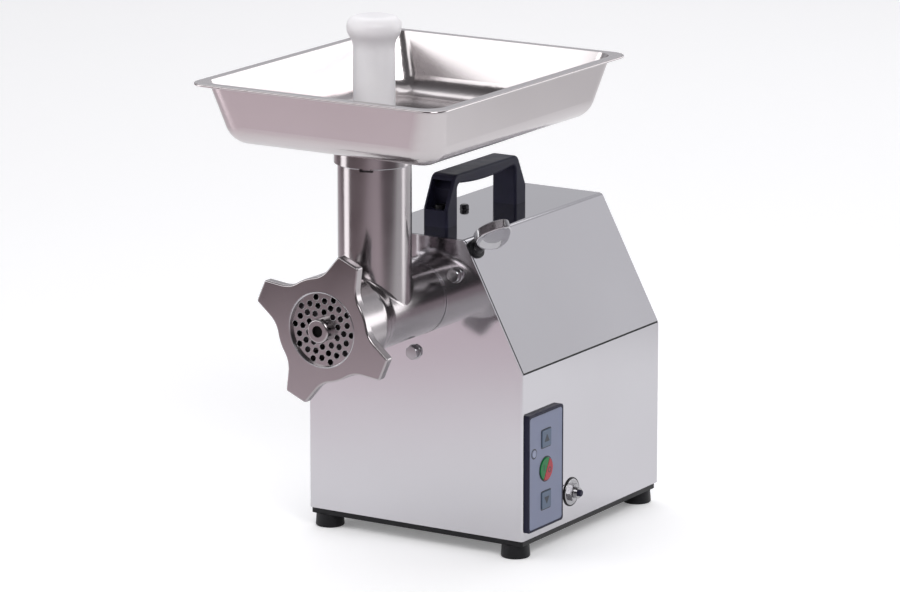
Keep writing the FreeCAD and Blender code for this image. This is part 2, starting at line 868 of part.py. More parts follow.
def reset_button():
    """Black plunger in the overload switch's barrel."""
    x0 = x_side - sheet - reset_travel + loose_fit
    button = bar_x(reset_button_radius, x0, x_side + reset_button_out, y_reset, z_reset)
    rim = edges_where(button, lambda p: at(p.x, x_side + reset_button_out))
    return button.makeFillet(reset_button_radius / 3, rim)


def cable_gland():
    """Gland in the rear panel where the mains lead goes in, with its nut inside."""
    x, z = gland_x, z_steel + gland_rise
    collar = prism([hexagon(gland_flats, in_xz(y_back), x, z)], Vector(0, gland_out / 2, 0))
    dome = bar_y(gland_radius, y_back, y_back + gland_out, x, z)
    dome = dome.makeFillet(gland_out / 4, edges_where(dome, lambda p: at(p.y, y_back + gland_out)))
    shank = bar_y(gland_radius, y_rear - 2 * gland_nut, y_back, x, z)
    nut = prism([hexagon(gland_flats, in_xz(y_rear - gland_nut), x, z)], Vector(0, gland_nut, 0))
    bore = bar_y(gland_bore, y_rear - 3 * gland_nut, y_back + gland_out + past, x, z)
    return fuse([collar, dome, shank, nut]).cut(bore)


def capacitor():
    """Motor capacitor, lying on the base plate."""
    z = z_steel + cap_radius
    y0 = y_front + cap_back
    can = bar_y(cap_radius, y0, y0 + cap_length, cap_x, z)
    return can.makeFillet(cap_radius / 10, edges_where(can, lambda p: True))


def capacitor_clip():
    """Strap over the capacitor, with a foot on the base plate at each side."""
    z = z_steel + cap_radius
    y0 = y_front + cap_back + (cap_length - clip_width) / 2
    outer = cap_radius + loose_fit + clip_sheet
    y1 = y0 + clip_width
    half_round = box(cap_x - outer, cap_x + outer, y0, y1, z, z + outer)
    arch = [bar_y(outer, y0, y1, cap_x, z).common(half_round),
            box(cap_x - outer, cap_x + outer, y0, y1, z_steel, z),
            box(cap_x - outer - clip_foot, cap_x + outer + clip_foot, y0, y1, z_steel,
                z_steel + clip_sheet)]
    inner = outer - clip_sheet
    hollow = [bar_y(inner, y0 - past, y1 + past, cap_x, z),
              box(cap_x - inner, cap_x + inner, y0 - past, y1 + past, z_steel - past, z)]
    return fuse(arch).cut(hollow)


def worm_housing():
    """Cast head: a barrel with a threaded drum in front, a feed neck above and a spigot behind."""
    y_cone = y_plate + drum_length
    outer = turned_y([(y_drum, 0), (y_drum, drum_radius), (y_cone, drum_radius),
                      (y_cone + drum_taper, barrel_radius), (y_nose, barrel_radius),
                      (y_nose, spigot_radius), (y_spigot, spigot_radius), (y_spigot, 0)], z_head)
    neck = bar_z(neck_radius, z_head, z_neck, 0, y_neck)
    head = outer.fuse(neck).removeSplitter()
    joint = [e for e in head.Edges if e.BoundBox.ZMin > z_head and e.BoundBox.ZMax < z_neck
             and e.BoundBox.XLength > 1 and e.BoundBox.ZLength > 1]
    head = head.makeFillet(neck_blend, joint)
    y_chamber = y_knife_back + chamber_room
    inner = turned_y([(y_drum - past, 0), (y_drum - past, chamber_radius), (y_chamber, chamber_radius),
                      (y_chamber + throat_taper, worm_bore), (y_worm_end, worm_bore),
                      (y_worm_end, bush_radius), (y_spigot + past, bush_radius),
                      (y_spigot + past, 0)], z_head)
    bore = bar_z(neck_bore, z_head, z_neck + past, 0, y_neck)
    notch = box(0, 2 * neck_radius, y_neck - notch_width / 2, y_neck + notch_width / 2,
                z_neck - notch_depth, z_neck + past)
    notch.rotate(Vector(0, y_neck, 0), Vector(0, 0, 1), notch_turn)
    slot = bar_y(key_radius + seat_fit, y_drum - past, y_plate_back + key_depth, 0, z_head - chamber_radius)
    return head.cut([inner, bore, notch, slot])


def worm_bush():
    """Nylon bush in the head's rear wall, which carries the worm."""
    ring = bar_y(bush_radius - seat_fit, y_worm_end, y_spigot, 0, z_head)
    return ring.cut(bar_y(journal_radius + running_fit, y_worm_end - past, y_spigot + past, 0, z_head))


def worm_washer():
    """Thrust washer between the worm's collar and the head's rear wall."""
    y0 = y_worm_end - washer_thickness
    ring = bar_y(washer_radius, y0, y_worm_end, 0, z_head)
    return ring.cut(bar_y(journal_radius + seat_fit, y0 - past, y_worm_end + past, 0, z_head))


def worm():
    """Feed worm: a core with a helical flight, a square for the knife, a stud and a rear tang."""
    y_collar = y_worm_end - washer_thickness - collar_thickness
    y_flight = y_knife_back + face_gap
    core = turned_y([(y_stud, 0), (y_stud, stud_radius), (y_knife, stud_radius),
                     (y_knife, 0)], z_head)
    body = turned_y([(y_flight, 0), (y_flight, worm_core), (y_collar, worm_core),
                     (y_collar, collar_radius), (y_collar + collar_thickness, collar_radius),
                     (y_collar + collar_thickness, journal_radius), (y_spigot, journal_radius),
                     (y_spigot, 0)], z_head)
    half = square_drive / 2
    square = box(-half, half, y_knife, y_flight, z_head - half, z_head + half)
    tang = box(-tang_width / 2, tang_width / 2, y_spigot, y_spigot + tang_length,
               z_head - tang_thickness / 2, z_head + tang_thickness / 2)
    return fuse([core, square, body, tang, worm_flight(y_flight, y_collar)])


def worm_flight(y0, y1):
    """Right-handed helical fin about the head's axis between two depths."""
    length = y1 - y0
    spine = Part.makeHelix(worm_pitch, length - flight_thickness, worm_core)
    low = worm_core - past
    half = flight_thickness / 2
    spots = [Vector(low, 0, -half), Vector(worm_outer, 0, -half), Vector(worm_outer, 0, half),
             Vector(low, 0, half)]
    section = Part.makePolygon(spots + spots[:1])
    fin = Part.Wire(spine).makePipeShell([section], True, True)
    fin.translate(Vector(0, 0, half))
    fin.rotate(Vector(), Vector(1, 0, 0), -90)
    fin.translate(Vector(0, y0, z_head))
    return fin


def knife():
    """Cross knife on the worm's square, with its arms against the plate."""
    hub = bar_y(knife_hub_radius, y_knife, y_knife_back, 0, z_head)
    arms = [hub]
    for i in range(knife_arms):
        arm = box(0, knife_reach, y_knife, y_knife_back, -knife_arm_width / 2, knife_arm_width / 2)
        back = box(0, 2 * knife_reach, 0, knife_thickness, -knife_arm_width, 0)
        back.rotate(Vector(), Vector(1, 0, 0), -knife_bevel)
        back.translate(Vector(knife_hub_radius, y_knife_back - knife_thickness / 3, -knife_arm_width / 4))
        arm = arm.cut(back)
        arm.rotate(Vector(), Vector(0, 1, 0), 360 / knife_arms * i + knife_turn)
        arm.translate(Vector(0, 0, z_head))
        arms.append(arm)
    half = square_drive / 2 + face_gap
    return fuse(arms).cut(box(-half, half, y_knife - past, y_knife_back + past, z_head - half, z_head + half))


def cutting_plate():
    """Round plate with rings of holes and a raised hub for the worm's stud."""
    hub = bar_y(plate_hub_radius, y_hub, y_plate + past, 0, z_head)
    hub = hub.makeFillet(plate_hub_edge, edges_where(hub, lambda p: at(p.y, y_hub)))
    disc = fuse([bar_y(plate_radius, y_plate, y_plate_back, 0, z_head), hub])
    cuts = [bar_y(stud_radius + running_fit, y_hub - past, y_plate_back + past, 0, z_head)]
    step = 2 * math.pi / plate_ring_holes
    for i, share in enumerate(plate_ring_shares):
        for j in range(plate_ring_holes):
            turn = math.radians(plate_hole_turn) + step * (j + i / 2)
            x = plate_radius * share * math.cos(turn)
            z = z_head + plate_radius * share * math.sin(turn)
            cuts.append(bar_y(plate_hole_radius, y_plate - past, y_plate_back + past, x, z))
    cuts.append(bar_y(key_radius + face_gap, y_plate - past, y_plate_back + past, 0, z_head - chamber_radius))
    return disc.cut(cuts)


def plate_key():
    """Pin in the head's wall that stops the plate from turning."""
    return bar_y(key_radius, y_drum + face_gap, y_plate_back + key_depth, 0, z_head - chamber_radius)


def ring_nut():
    """Screwed ring with four spread lugs, which holds the plate in the head."""
    star = [bar_y(ring_body, y_ring, y_ring + lobe_thickness, 0, z_head)]
    corners = [(0, -lobe_spread / 2), (lobe_reach, -lobe_width / 2, lobe_corner),
               (lobe_reach, lobe_width / 2, lobe_corner), (0, lobe_spread / 2)]
    for i in range(lobe_count):
        lobe = prism([outline(corners, in_xz(y_ring))], Vector(0, lobe_thickness, 0))
        lobe.rotate(Vector(), Vector(0, 1, 0), -(lobe_turn + 360 / lobe_count * i))
        lobe.translate(Vector(0, 0, z_head))
        star.append(lobe)
    flower = fuse(star)
    hollows = [e for e in flower.Edges if at(e.BoundBox.YLength, lobe_thickness)
               and at(math.hypot(e.CenterOfMass.x, e.CenterOfMass.z - z_head), ring_body)]
    flower = flower.makeFillet(lobe_fillet, hollows)
    rims = [e for e in flower.Edges if at(e.BoundBox.YLength, 0)]
    flower = flower.makeFillet(lobe_edge, rims)
    skirt = bar_y(ring_body, y_ring + lobe_edge, y_ring + ring_depth, 0, z_head)
    rim = edges_where(skirt, lambda p: at(p.y, y_ring + ring_depth))
    nut = fuse([flower, skirt.makeFillet(lobe_edge / 2, rim)])
    mouth = bar_y(ring_opening, y_ring - past, y_plate, 0, z_head)
    thread = bar_y(drum_radius + loose_fit, y_plate - face_gap, y_ring + ring_depth + past, 0, z_head)
    return nut.cut([mouth, thread])


def tray_wire(grow, radius, z):
    """Rounded rectangle about the tray's middle, larger by grow on each side than the tray's floor."""
    half_x = tray_width / 2 - tray_lip - tray_draft + grow
    half_y = tray_length / 2 - tray_lip - tray_draft + grow
    y = y_neck + tray_back
    return rectangle(-half_x, half_x, y - half_y, y + half_y, radius, in_xy(z))


def tray_block(inset, z_low):
    """Solid of the tray's walls, which lean out towards the rim, inset by a distance."""
    low = tray_wire(-inset, tray_floor_corner - inset, z_low)
    high = tray_wire(tray_draft - inset, tray_wall_corner - inset, z_rim)
    block = Part.makeLoft([low, high], True, True)
    return block.makeFillet(tray_bottom_radius - inset, edges_where(block, lambda p: at(p.z, z_low)))


def feed_tray():
    """Pressed pan with a flat lip and a hole over the neck."""
    hollow = tray_block(tray_sheet, z_tray + tray_sheet)
    z_lip = z_rim - tray_lip_thickness
    lip = prism([tray_wire(tray_draft + tray_lip, tray_corner, z_lip)], Vector(0, 0, tray_lip_thickness))
    edges = edges_where(lip, lambda p: at(p.z, z_lip) or at(p.z, z_rim))
    edges = [e for e in edges if at(e.BoundBox.ZLength, 0)]
    lip = lip.makeFillet(tray_lip_round, edges)
    pan = fuse([tray_block(0.0, z_tray), lip]).cut(hollow)
    pan = pan.cut(prism([tray_wire(tray_draft - tray_sheet, tray_wall_corner - tray_sheet, z_rim)],
                        Vector(0, 0, past)))
    return pan.cut(bar_z(spout_bore(), z_tray - past, z_rim + past, 0, y_neck))


def spout_bore():
    """Radius of the passage through the tray's collar."""
    return neck_bore - slide_fit - spout_wall


def tray_collar():
    """Ring under the tray that stands on the neck, with a spout inside it and a tab in the notch."""
    ring = bar_z(collar_wall_radius, z_neck, z_tray, 0, y_neck)
    spout = bar_z(neck_bore - slide_fit, z_neck - spout_length, z_tray, 0, y_neck)
    tab = box(neck_bore - 2 * slide_fit, neck_radius, y_neck - tab_width / 2, y_neck + tab_width / 2,
              z_neck - tab_drop, z_neck)
    tab = tab.common(bar_z(neck_radius - slide_fit, z_neck - notch_depth, z_neck + past, 0, y_neck))
    tab.rotate(Vector(0, y_neck, 0), Vector(0, 0, 1), notch_turn)
    solid = fuse([ring, spout, tab])
    return solid.cut(bar_z(spout_bore(), z_neck - spout_length - past, z_tray + past, 0, y_neck))


def pusher():
    """Plastic pusher that stands in the neck: a tapered shaft that flares into a rounded knob."""
    low = z_head + worm_outer + loose_fit
    knob = z_pusher - pusher_knob_height
    corners = [(0, low), (pusher_shaft_bottom, low, pusher_edge),
               (pusher_shaft_top, knob, pusher_neck_round),
               (pusher_knob, knob + pusher_flare, pusher_flare_round),
               (pusher_knob, z_pusher, pusher_knob_round), (0, z_pusher)]
    return turned_z(corners, y_neck)


def lock_start():
    """Distance from the head's axis to the slanted side along the lock screw."""
    turn = math.radians(lock_angle)
    reach = casing_width / 2 - (z_head - z_shoulder) * slope
    return reach / (math.cos(turn) + slope * math.sin(turn))


def lock_placed(shape):
    """Stands a shape made along +X on the lock screw's axis."""
    placed = shape.copy()
    placed.rotate(Vector(), Vector(0, 1, 0), -lock_angle)
    placed.translate(Vector(0, y_front + lock_back, z_head))
    return placed


def lock_bar(radius, start, end):
    """Round bar on the lock screw's axis, between two distances from the head's axis."""
    return lock_placed(bar_x(radius, start, end, 0, 0))


def lock_screw():
    """Thumb screw with a spade head; its point stands just clear of the head's spigot."""
    panel = lock_start()
    tip = spigot_radius + loose_fit
    foot_out = panel + lock_neck_length
    stem = bar_x(lock_stem, tip, panel, 0, 0)
    point = edges_where(stem, lambda p: at(p.x, tip))
    stem = stem.makeChamfer(lock_stem / 3, point)
    neck = bar_x(lock_neck, panel - grommet_thickness, foot_out + spade_height / 3, 0, 0)
    middle = foot_out - spade_sunk + spade_height / 2
    leaf = Part.Ellipse(Vector(middle, 0, -spade_thickness / 2), spade_height / 2, spade_width / 2)
    spade = prism([Part.Wire([leaf.toShape()])], Vector(0, 0, spade_thickness))
    rims = [e for e in spade.Edges if at(e.BoundBox.ZLength, 0)]
    spade = spade.makeFillet(spade_edge, rims)
    spade.rotate(Vector(), Vector(1, 0, 0), -spade_turn)
    return lock_placed(fuse([stem, neck, spade]))


def grommet_waist():
    """Radius of the grommet where it passes through the casing."""
    return lock_neck + loose_fit + grommet_wall


def lock_grommet():
    """Rubber ring round the lock screw where it leaves the casing."""
    panel = lock_start()
    ring = lock_bar(grommet_waist() + grommet_lip, panel - lug_end, panel + lug_end)
    waist = lock_bar(grommet_waist() - seat_fit, panel - lug_end, panel + lug_end)
    outside = slanted_slab(0.0, grommet_thickness)
    inside = slanted_slab(-grommet_thickness / 2 - sheet, grommet_thickness / 2)
    middle = slanted_slab(-sheet, sheet)
    room = prism([slanted_top(z_shoulder, sheet, roof_bend - sheet, in_xz(y_front))],
                 Vector(0, casing_depth, 0))
    body = fuse([ring.common(outside), waist.common(middle), ring.common(inside).common(room)])
    return body.cut(lock_bar(lock_neck + loose_fit, panel - 2 * lug_end, panel + 2 * lug_end))


def slanted_slab(start, thickness):
    """Slab along the right slanted side, from start outside its face."""
    z0 = z_shoulder
    z1 = z_roof + roof_rise / 4
    inner = [(half_width(z, -start), z) for z in (z0, z1)]
    outer = [(half_width(z, -start - thickness), z) for z in (z1, z0)]
    return prism([outline(inner + outer, in_xz(y_front))], Vector(0, casing_depth, 0))


def hub_casting():
    """Hub behind the front panel: head socket, bolt lugs, lock lug and the gearbox's front wall."""
    y_flange = y_front + sheet
    pieces = [bar_y(hub_flange_radius, y_flange, y_flange + hub_flange, 0, z_head),
              bar_y(hub_barrel_radius, y_flange, y_wall, 0, z_head),
              bar_y(barrel_radius, y_nose + face_gap, y_flange, 0, z_head)]
    for x, z in bolt_spots():
        pieces.append(bar_y(bolt_lug, y_flange, y_flange + hub_flange, x, z))
    pieces.append(prism([gearbox_wire(0.0, y_wall)], Vector(0, front_wall, 0)))
    front_seat = front_bearing_radius + gearbox_wall
    pieces.append(bar_y(front_seat, y_wall, y_bearing + front_bearing_width, 0, z_head))
    mid_seat = mid_bearing_radius + gearbox_wall
    pieces.append(bar_y(mid_seat, y_wall, y_mid_front() + mid_bearing_width, 0, z_mid))
    lug = lock_bar(lug_radius, spigot_radius, lock_start() - lug_end)
    solid = fuse(pieces + [lug])
    cuts = [bar_y(spigot_radius + slide_fit, y_nose - past, y_drive, 0, z_head),
            bar_y(drive_head_radius + loose_fit, y_drive - past, y_bearing, 0, z_head),
            bar_y(front_bearing_radius + seat_fit, y_bearing, y_motor, 0, z_head),
            bar_y(mid_bearing_radius + seat_fit, y_mid_front(), y_motor, 0, z_mid),
            lock_bar(lock_stem + running_fit, lug_end, lock_start())]
    for x, z in bolt_spots():
        cuts.append(bar_y(bolt_radius + running_fit, y_front, y_flange + hub_flange + loose_fit, x, z))
    for x, z in case_screw_spots():
        cuts.append(bar_y(case_screw_radius + seat_fit, y_wall - past, y_motor, x, z))
    return solid.cut(cuts)


def y_mid_front():
    """Front face of the middle shaft's front bearing."""
    return y_wall + front_wall / 2


def gearbox_wire(inset, y):
    """Gearbox outline: a long round shape about the head's and the motor's axes."""
    radius = gearbox_radius - inset
    high, low = z_head, z_motor
    spots = [Vector(-radius, y, high), Vector(0, y, high + radius), Vector(radius, y, high),
             Vector(radius, y, low), Vector(0, y, low - radius), Vector(-radius, y, low)]
    edges = [Part.Arc(*spots[:3]).toShape(), Part.makeLine(spots[2], spots[3]),
             Part.Arc(*spots[3:]).toShape(), Part.makeLine(spots[5], spots[0])]
    return Part.Wire(edges)


def case_screw_spots():
    """Middles of the gearbox's screws, in its wall, as (x, z)."""
    x = gearbox_radius - gearbox_wall / 2
    heights = [z_head, (z_head + z_motor) / 2, z_motor]
    return [(sign * x, z) for z in heights for sign in (-1, 1)]


def gearbox_case():
    """Gearbox body behind the hub, whose rear wall carries the motor."""
    y0 = y_wall + front_wall
    body = prism([gearbox_wire(0.0, y0)], Vector(0, y_motor - y0, 0))
    room = prism([gearbox_wire(gearbox_wall, y0 - past)], Vector(0, y_case_wall - y0 + past, 0))
    y_in = y_case_wall - past
    cuts = [room, bar_y(tail_bearing_radius + seat_fit, y_in, y_motor + past, 0, z_head),
            bar_y(mid_bearing_radius + seat_fit, y_in, y_case_wall + mid_bearing_width, 0, z_mid),
            bar_y(motor_bearing_radius + bell_rim, y_in, y_motor + past, 0, z_motor)]
    for x, z in case_screw_spots():
        cuts.append(bar_y(case_screw_radius + seat_fit, y0 - past, y_case_wall, x, z))
    body = body.cut(cuts)
    bosses = []
    for x, z in case_screw_spots():
        ring = bar_y(gearbox_wall, y0, y_case_wall, x, z)
        ring = ring.common(prism([gearbox_wire(0.0, y0)], Vector(0, y_case_wall - y0, 0)))
        bosses.append(ring.cut(bar_y(case_screw_radius + seat_fit, y0 - past, y_case_wall + past, x, z)))
    return fuse([body] + bosses)


def gearbox_screws():
    """Screws through the hub's wall into the gearbox."""
    screws = []
    for x, z in case_screw_spots():
        head = bar_y(case_screw_head, y_wall - case_screw_head, y_wall, x, z)
        screws.append(fuse([head, bar_y(case_screw_radius, y_wall, y_gear_out, x, z)]))
    return Part.makeCompound(screws)


def hub_bolts():
    """Hexagon bolts through the front panel into the hub's lugs."""
    bolts = []
    for x, z in bolt_spots():
        head = prism([hexagon(bolt_flats, in_xz(y_front - bolt_head), x, z)], Vector(0, bolt_head, 0))
        round_bar = bar_y(bolt_flats / 2 / math.cos(math.pi / 6), y_front - bolt_head, y_front, x, z)
        rim = edges_where(round_bar, lambda p: at(p.y, y_front - bolt_head))
        head = head.common(round_bar.makeChamfer(bolt_head / 6, rim))
        shank = bar_y(bolt_radius, y_front, y_front + sheet + hub_flange, x, z)
        bolts.append(fuse([head, shank]))
    return Part.makeCompound(bolts)


def involute(base, radius):
    """Angle swept by an involute from its base circle to a radius."""
    if radius <= base:
        return 0.0
    roll = math.sqrt((radius / base) ** 2 - 1)
    return roll - math.atan(roll)


def gear(module, teeth, width, y, z, first, bore):
    """Spur gear along Y with a tooth or gap at the angle first, and involute flanks thinned for backlash."""
    pitch = module * teeth / 2
    base = pitch * math.cos(math.radians(pressure_angle))
    tip, root = pitch + module, pitch - dedendum * module
    half = math.pi / 2 / teeth - backlash / 2 / pitch + involute(base, pitch)

    def spot(radius, turn):
        return Vector(radius * math.cos(turn), y, z + radius * math.sin(turn))

    edges = []
    step = 2 * math.pi / teeth
    low = max(base, root)
    middle = (low + tip) / 2
    for i in range(teeth):
        turn = first + i * step
        flank = [(r, half - involute(base, r)) for r in (low, middle, tip)]
        rise = [spot(r, turn - a) for r, a in flank]
        fall = [spot(r, turn + a) for r, a in reversed(flank)]
        root_a = spot(root, turn - flank[0][1])
        root_b = spot(root, turn + flank[0][1])
        following = spot(root, turn + step - flank[0][1])
        if low > root:
            edges.append(Part.makeLine(root_a, rise[0]))
        edges.append(Part.Arc(*rise).toShape())
        edges.append(Part.Arc(rise[2], spot(tip, turn), fall[0]).toShape())
        edges.append(Part.Arc(*fall).toShape())
        if low > root:
            edges.append(Part.makeLine(fall[2], root_b))
        edges.append(Part.Arc(root_b, spot(root, turn + step / 2), following).toShape())
    blank = prism([Part.Wire(edges)], Vector(0, width, 0))
    if bore > 0:
        return blank.cut(bar_y(bore, y - past, y + width + past, 0, z))
    return blank


def output_gear():
    """Large gear on the output shaft, with a tooth straight down."""
    return gear(module_out, teeth_out, width_out, y_gear_out, z_head, -math.pi / 2, output_journal + seat_fit)


def middle_gear():
    """Large gear on the middle shaft, with a tooth straight down."""
    return gear(module_in, teeth_mid_large, width_in, y_gear_in, z_mid, -math.pi / 2, mid_journal + seat_fit)


def middle_shaft():
    """Middle shaft with its small gear cut on it, a gap straight up."""
    pinion = gear(module_out, teeth_mid_small, width_out, y_gear_out, z_mid,
                  math.pi / 2 + math.pi / teeth_mid_small, 0.0)
    y_end = y_case_wall + mid_bearing_width - loose_fit
    return fuse([bar_y(mid_journal, y_mid_front() + loose_fit, y_end, 0, z_mid), pinion])


def motor_pinion():
    """Small gear on the motor shaft, a gap straight up."""
    return gear(module_in, teeth_motor, width_in, y_gear_in, z_motor,
                math.pi / 2 + math.pi / teeth_motor, motor_journal + seat_fit)


def output_shaft():
    """Output shaft: a slotted head that drives the worm's tang, and journals for its bearings."""
    y_end = y_motor - loose_fit
    shaft = turned_y([(y_drive, 0), (y_drive, drive_head_radius), (y_bearing - loose_fit, drive_head_radius),
                      (y_bearing - loose_fit, output_journal), (y_gear_in - gear_gap / 2, output_journal),
                      (y_gear_in - gear_gap / 2, output_tail), (y_end, output_tail), (y_end, 0)], z_head)
    half = tang_thickness / 2 + loose_fit / 2
    slot = box(-2 * drive_head_radius, 2 * drive_head_radius, y_drive - past,
               y_drive + tang_length, z_head - half, z_head + half)
    return shaft.cut(slot)


def ring_bearing(outer, shaft, y, width, z):
    """Ball bearing as one ring with a groove in each face, a running fit on its shaft."""
    inner = shaft + running_fit
    ring = bar_y(outer, y, y + width, 0, z).cut(bar_y(inner, y - past, y + width + past, 0, z))
    middle = (outer + inner) / 2
    wide = (outer - inner) / 5
    for y0 in (y - past, y + width - width / 8):
        groove = bar_y(middle + wide, y0, y0 + past + width / 8, 0, z)
        ring = ring.cut(groove.cut(bar_y(middle - wide, y0 - past, y0 + width, 0, z)))
    return ring


def shaft_bearings():
    """Bearings of the output shaft, the middle shaft and the motor shaft, two each."""
    rings = [ring_bearing(front_bearing_radius, output_journal, y_bearing, front_bearing_width, z_head),
             ring_bearing(tail_bearing_radius, output_tail, y_case_wall, rear_wall_thickness, z_head)]
    for y in (y_mid_front(), y_case_wall):
        rings.append(ring_bearing(mid_bearing_radius, mid_journal, y, mid_bearing_width, z_mid))
    for y in (bearing_y(True), bearing_y(False)):
        rings.append(ring_bearing(motor_bearing_radius, motor_journal, y, motor_bearing_width, z_motor))
    return Part.makeCompound(rings)


def motor_bell(y0, sign):
    """End bell of the motor: a cup with a bearing seat; sign is 1 in front and -1 behind."""
    bell = bar_y(motor_radius, y0, y0 + bell_thickness, 0, z_motor)
    open_face = y0 + bell_rim if sign > 0 else y0 - past
    cup = bar_y(motor_radius - bell_rim, open_face, open_face + bell_thickness - bell_rim + past, 0, z_motor)
    seat = bar_y(motor_bearing_radius + bell_rim, y0, y0 + bell_thickness, 0, z_motor)
    bell = fuse([bell.cut(cup), seat])
    return bell.cut(bar_y(motor_bearing_radius + seat_fit, y0 - past, y0 + bell_thickness + past, 0, z_motor))


def stator_core():
    """Laminated ring of the motor."""
    ring = bar_y(motor_radius, y_stator, y_stator_end, 0, z_motor)
    return ring.cut(bar_y(stator_bore, y_stator - past, y_stator_end + past, 0, z_motor))


def stator_windings():
    """End turns of the windings, one ring at each end of the core."""
    rings = []
    for y in (y_stator - winding_length + loose_fit, y_stator_end):
        ring = bar_y(winding_outer, y, y + winding_length - loose_fit, 0, z_motor)
        rim = edges_where(ring, lambda p: True)
        ring = ring.makeFillet(winding_length / 4, rim)
        rings.append(ring.cut(bar_y(winding_inner, y - past, y + winding_length + past, 0, z_motor)))
    return Part.makeCompound(rings)


def rotor_core():
    """Rotor of the motor on its shaft."""
    core = bar_y(stator_bore - air_gap, y_stator, y_stator_end, 0, z_motor)
    return core.cut(bar_y(motor_shaft_radius + seat_fit, y_stator - past, y_stator_end + past, 0, z_motor))


def bearing_y(front):
    """Front face of a motor bearing, in the front bell or the rear one."""
    room = (bell_thickness - motor_bearing_width) / 2
    return (y_motor if front else y_stator_end) + room


def motor_shaft():
    """Motor shaft from the pinion to the fan."""
    y0 = bearing_y(True) + motor_bearing_width + loose_fit
    y1 = bearing_y(False) - loose_fit
    y_end = y_fan + fan_width
    return turned_y([(y_gear_in, 0), (y_gear_in, motor_journal), (y0, motor_journal),
                     (y0, motor_shaft_radius), (y1, motor_shaft_radius), (y1, motor_journal),
                     (y_end, motor_journal), (y_end, 0)], z_motor)


def cooling_fan():
    """Fan on the rear of the motor shaft: a back disc with straight blades."""
    disc = bar_y(fan_radius, y_fan, y_fan + fan_blade_thickness, 0, z_motor)
    pieces = [disc, bar_y(fan_hub, y_fan, y_fan + fan_width, 0, z_motor)]
    for i in range(fan_blades):
        blade = box(fan_hub - past, fan_radius - past, y_fan, y_fan + fan_width, -fan_blade_thickness / 2,
                    fan_blade_thickness / 2)
        blade.rotate(Vector(), Vector(0, 1, 0), 360 / fan_blades * i)
        blade.translate(Vector(0, 0, z_motor))
        pieces.append(blade)
    bore = bar_y(motor_journal + seat_fit, y_fan - past, y_fan + fan_width + past, 0, z_motor)
    return fuse(pieces).cut(bore)


def motor_bracket():
    """Cradle between the base plate and the motor."""
    y0 = (y_stator + y_stator_end - bracket_depth) / 2
    half = bracket_width / 2
    y1 = y0 + bracket_depth
    plate = box(-half, half, y0, y1, z_steel, z_steel + bracket_sheet)
    web = [plate]
    for x in (-half, half - bracket_sheet):
        web.append(box(x, x + bracket_sheet, y0, y1, z_steel, z_motor))
    web.append(box(-half, half, (y0 + y1 - bracket_sheet) / 2, (y0 + y1 + bracket_sheet) / 2,
                   z_steel, z_motor))
    return fuse(web).cut(bar_y(motor_radius + seat_fit, y0 - past, y1 + past, 0, z_motor))


def all_nodes():
    """Every sub-part by its node's name."""
    nodes = {"body_shell": body_shell(), "roof_cover": roof_cover(), "rear_panel": rear_panel(),
             "rear_screws": rear_screws(), "cover_gasket": cover_gasket(), "base_plate": base_plate(),
             "foot_screws": foot_screws(), "carry_handle": carry_handle(),
             "handle_screws": handle_screws(), "roof_screw": roof_screw()}
    for corner, (x, y) in foot_spots().items():
        nodes[f"foot_{corner}"] = foot(x, y)
    nodes.update({"panel_bezel": panel_bezel(), "panel_overlay": panel_overlay(),
                  "start_key": half_key(0), "stop_key": half_key(1),
                  "indicator_lamp": indicator_lamp(), "control_board": control_board()})
    for name, spot in key_spots.items():
        nodes[name] = square_key(*spot)
    nodes.update({"reset_plate": reset_plate(), "reset_nut": reset_nut(),
                  "overload_switch": overload_switch(), "reset_button": reset_button(),
                  "cable_gland": cable_gland(), "capacitor": capacitor(),
                  "capacitor_clip": capacitor_clip()})
    nodes.update({"worm_housing": worm_housing(), "worm_bush": worm_bush(), "worm_washer": worm_washer(),
                  "worm": worm(), "knife": knife(), "cutting_plate": cutting_plate(),
                  "plate_key": plate_key(), "ring_nut": ring_nut(), "feed_tray": feed_tray(),
                  "tray_collar": tray_collar(), "pusher": pusher(), "lock_screw": lock_screw(),
                  "lock_grommet": lock_grommet()})
    nodes.update({"hub_casting": hub_casting(), "hub_bolts": hub_bolts(), "gearbox_case": gearbox_case(),
                  "gearbox_screws": gearbox_screws(), "output_shaft": output_shaft(),
                  "output_gear": output_gear(), "shaft_bearings": shaft_bearings(),
                  "middle_shaft": middle_shaft(), "middle_gear": middle_gear(),
                  "motor_pinion": motor_pinion()})
    nodes.update({"motor_bells": Part.makeCompound([motor_bell(y_motor, 1), motor_bell(y_stator_end, -1)]),
                  "stator_core": stator_core(), "stator_windings": stator_windings(),
                  "rotor_core": rotor_core(), "motor_shaft": motor_shaft(),
                  "cooling_fan": cooling_fan(), "motor_bracket": motor_bracket()})
    return nodes


os.makedirs("parts", exist_ok=True)
for node, shape in all_nodes().items():
    shape.exportStep(f"parts/{node}.step")
    print(f"{node}: {len(shape.Solids)} solids, valid {shape.isValid()}, {shape.Volume / 1000:.1f} cm3")
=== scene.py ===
# %% [markdown]
# # Dressing an electric meat grinder
#
# The machine's solids are already made and packed as a frame: a polished casing, a cast mincing head with its
# ring nut, a feed tray and a pusher. This lesson loads them, gives every surface its finish, and replaces the
# pieces that need finer shapes than the solids have. All sizes are written in millimetres and turned to metres
# with one factor, because Blender works in metres and the drawing of such a machine does not.

# %% Load the frame
import math

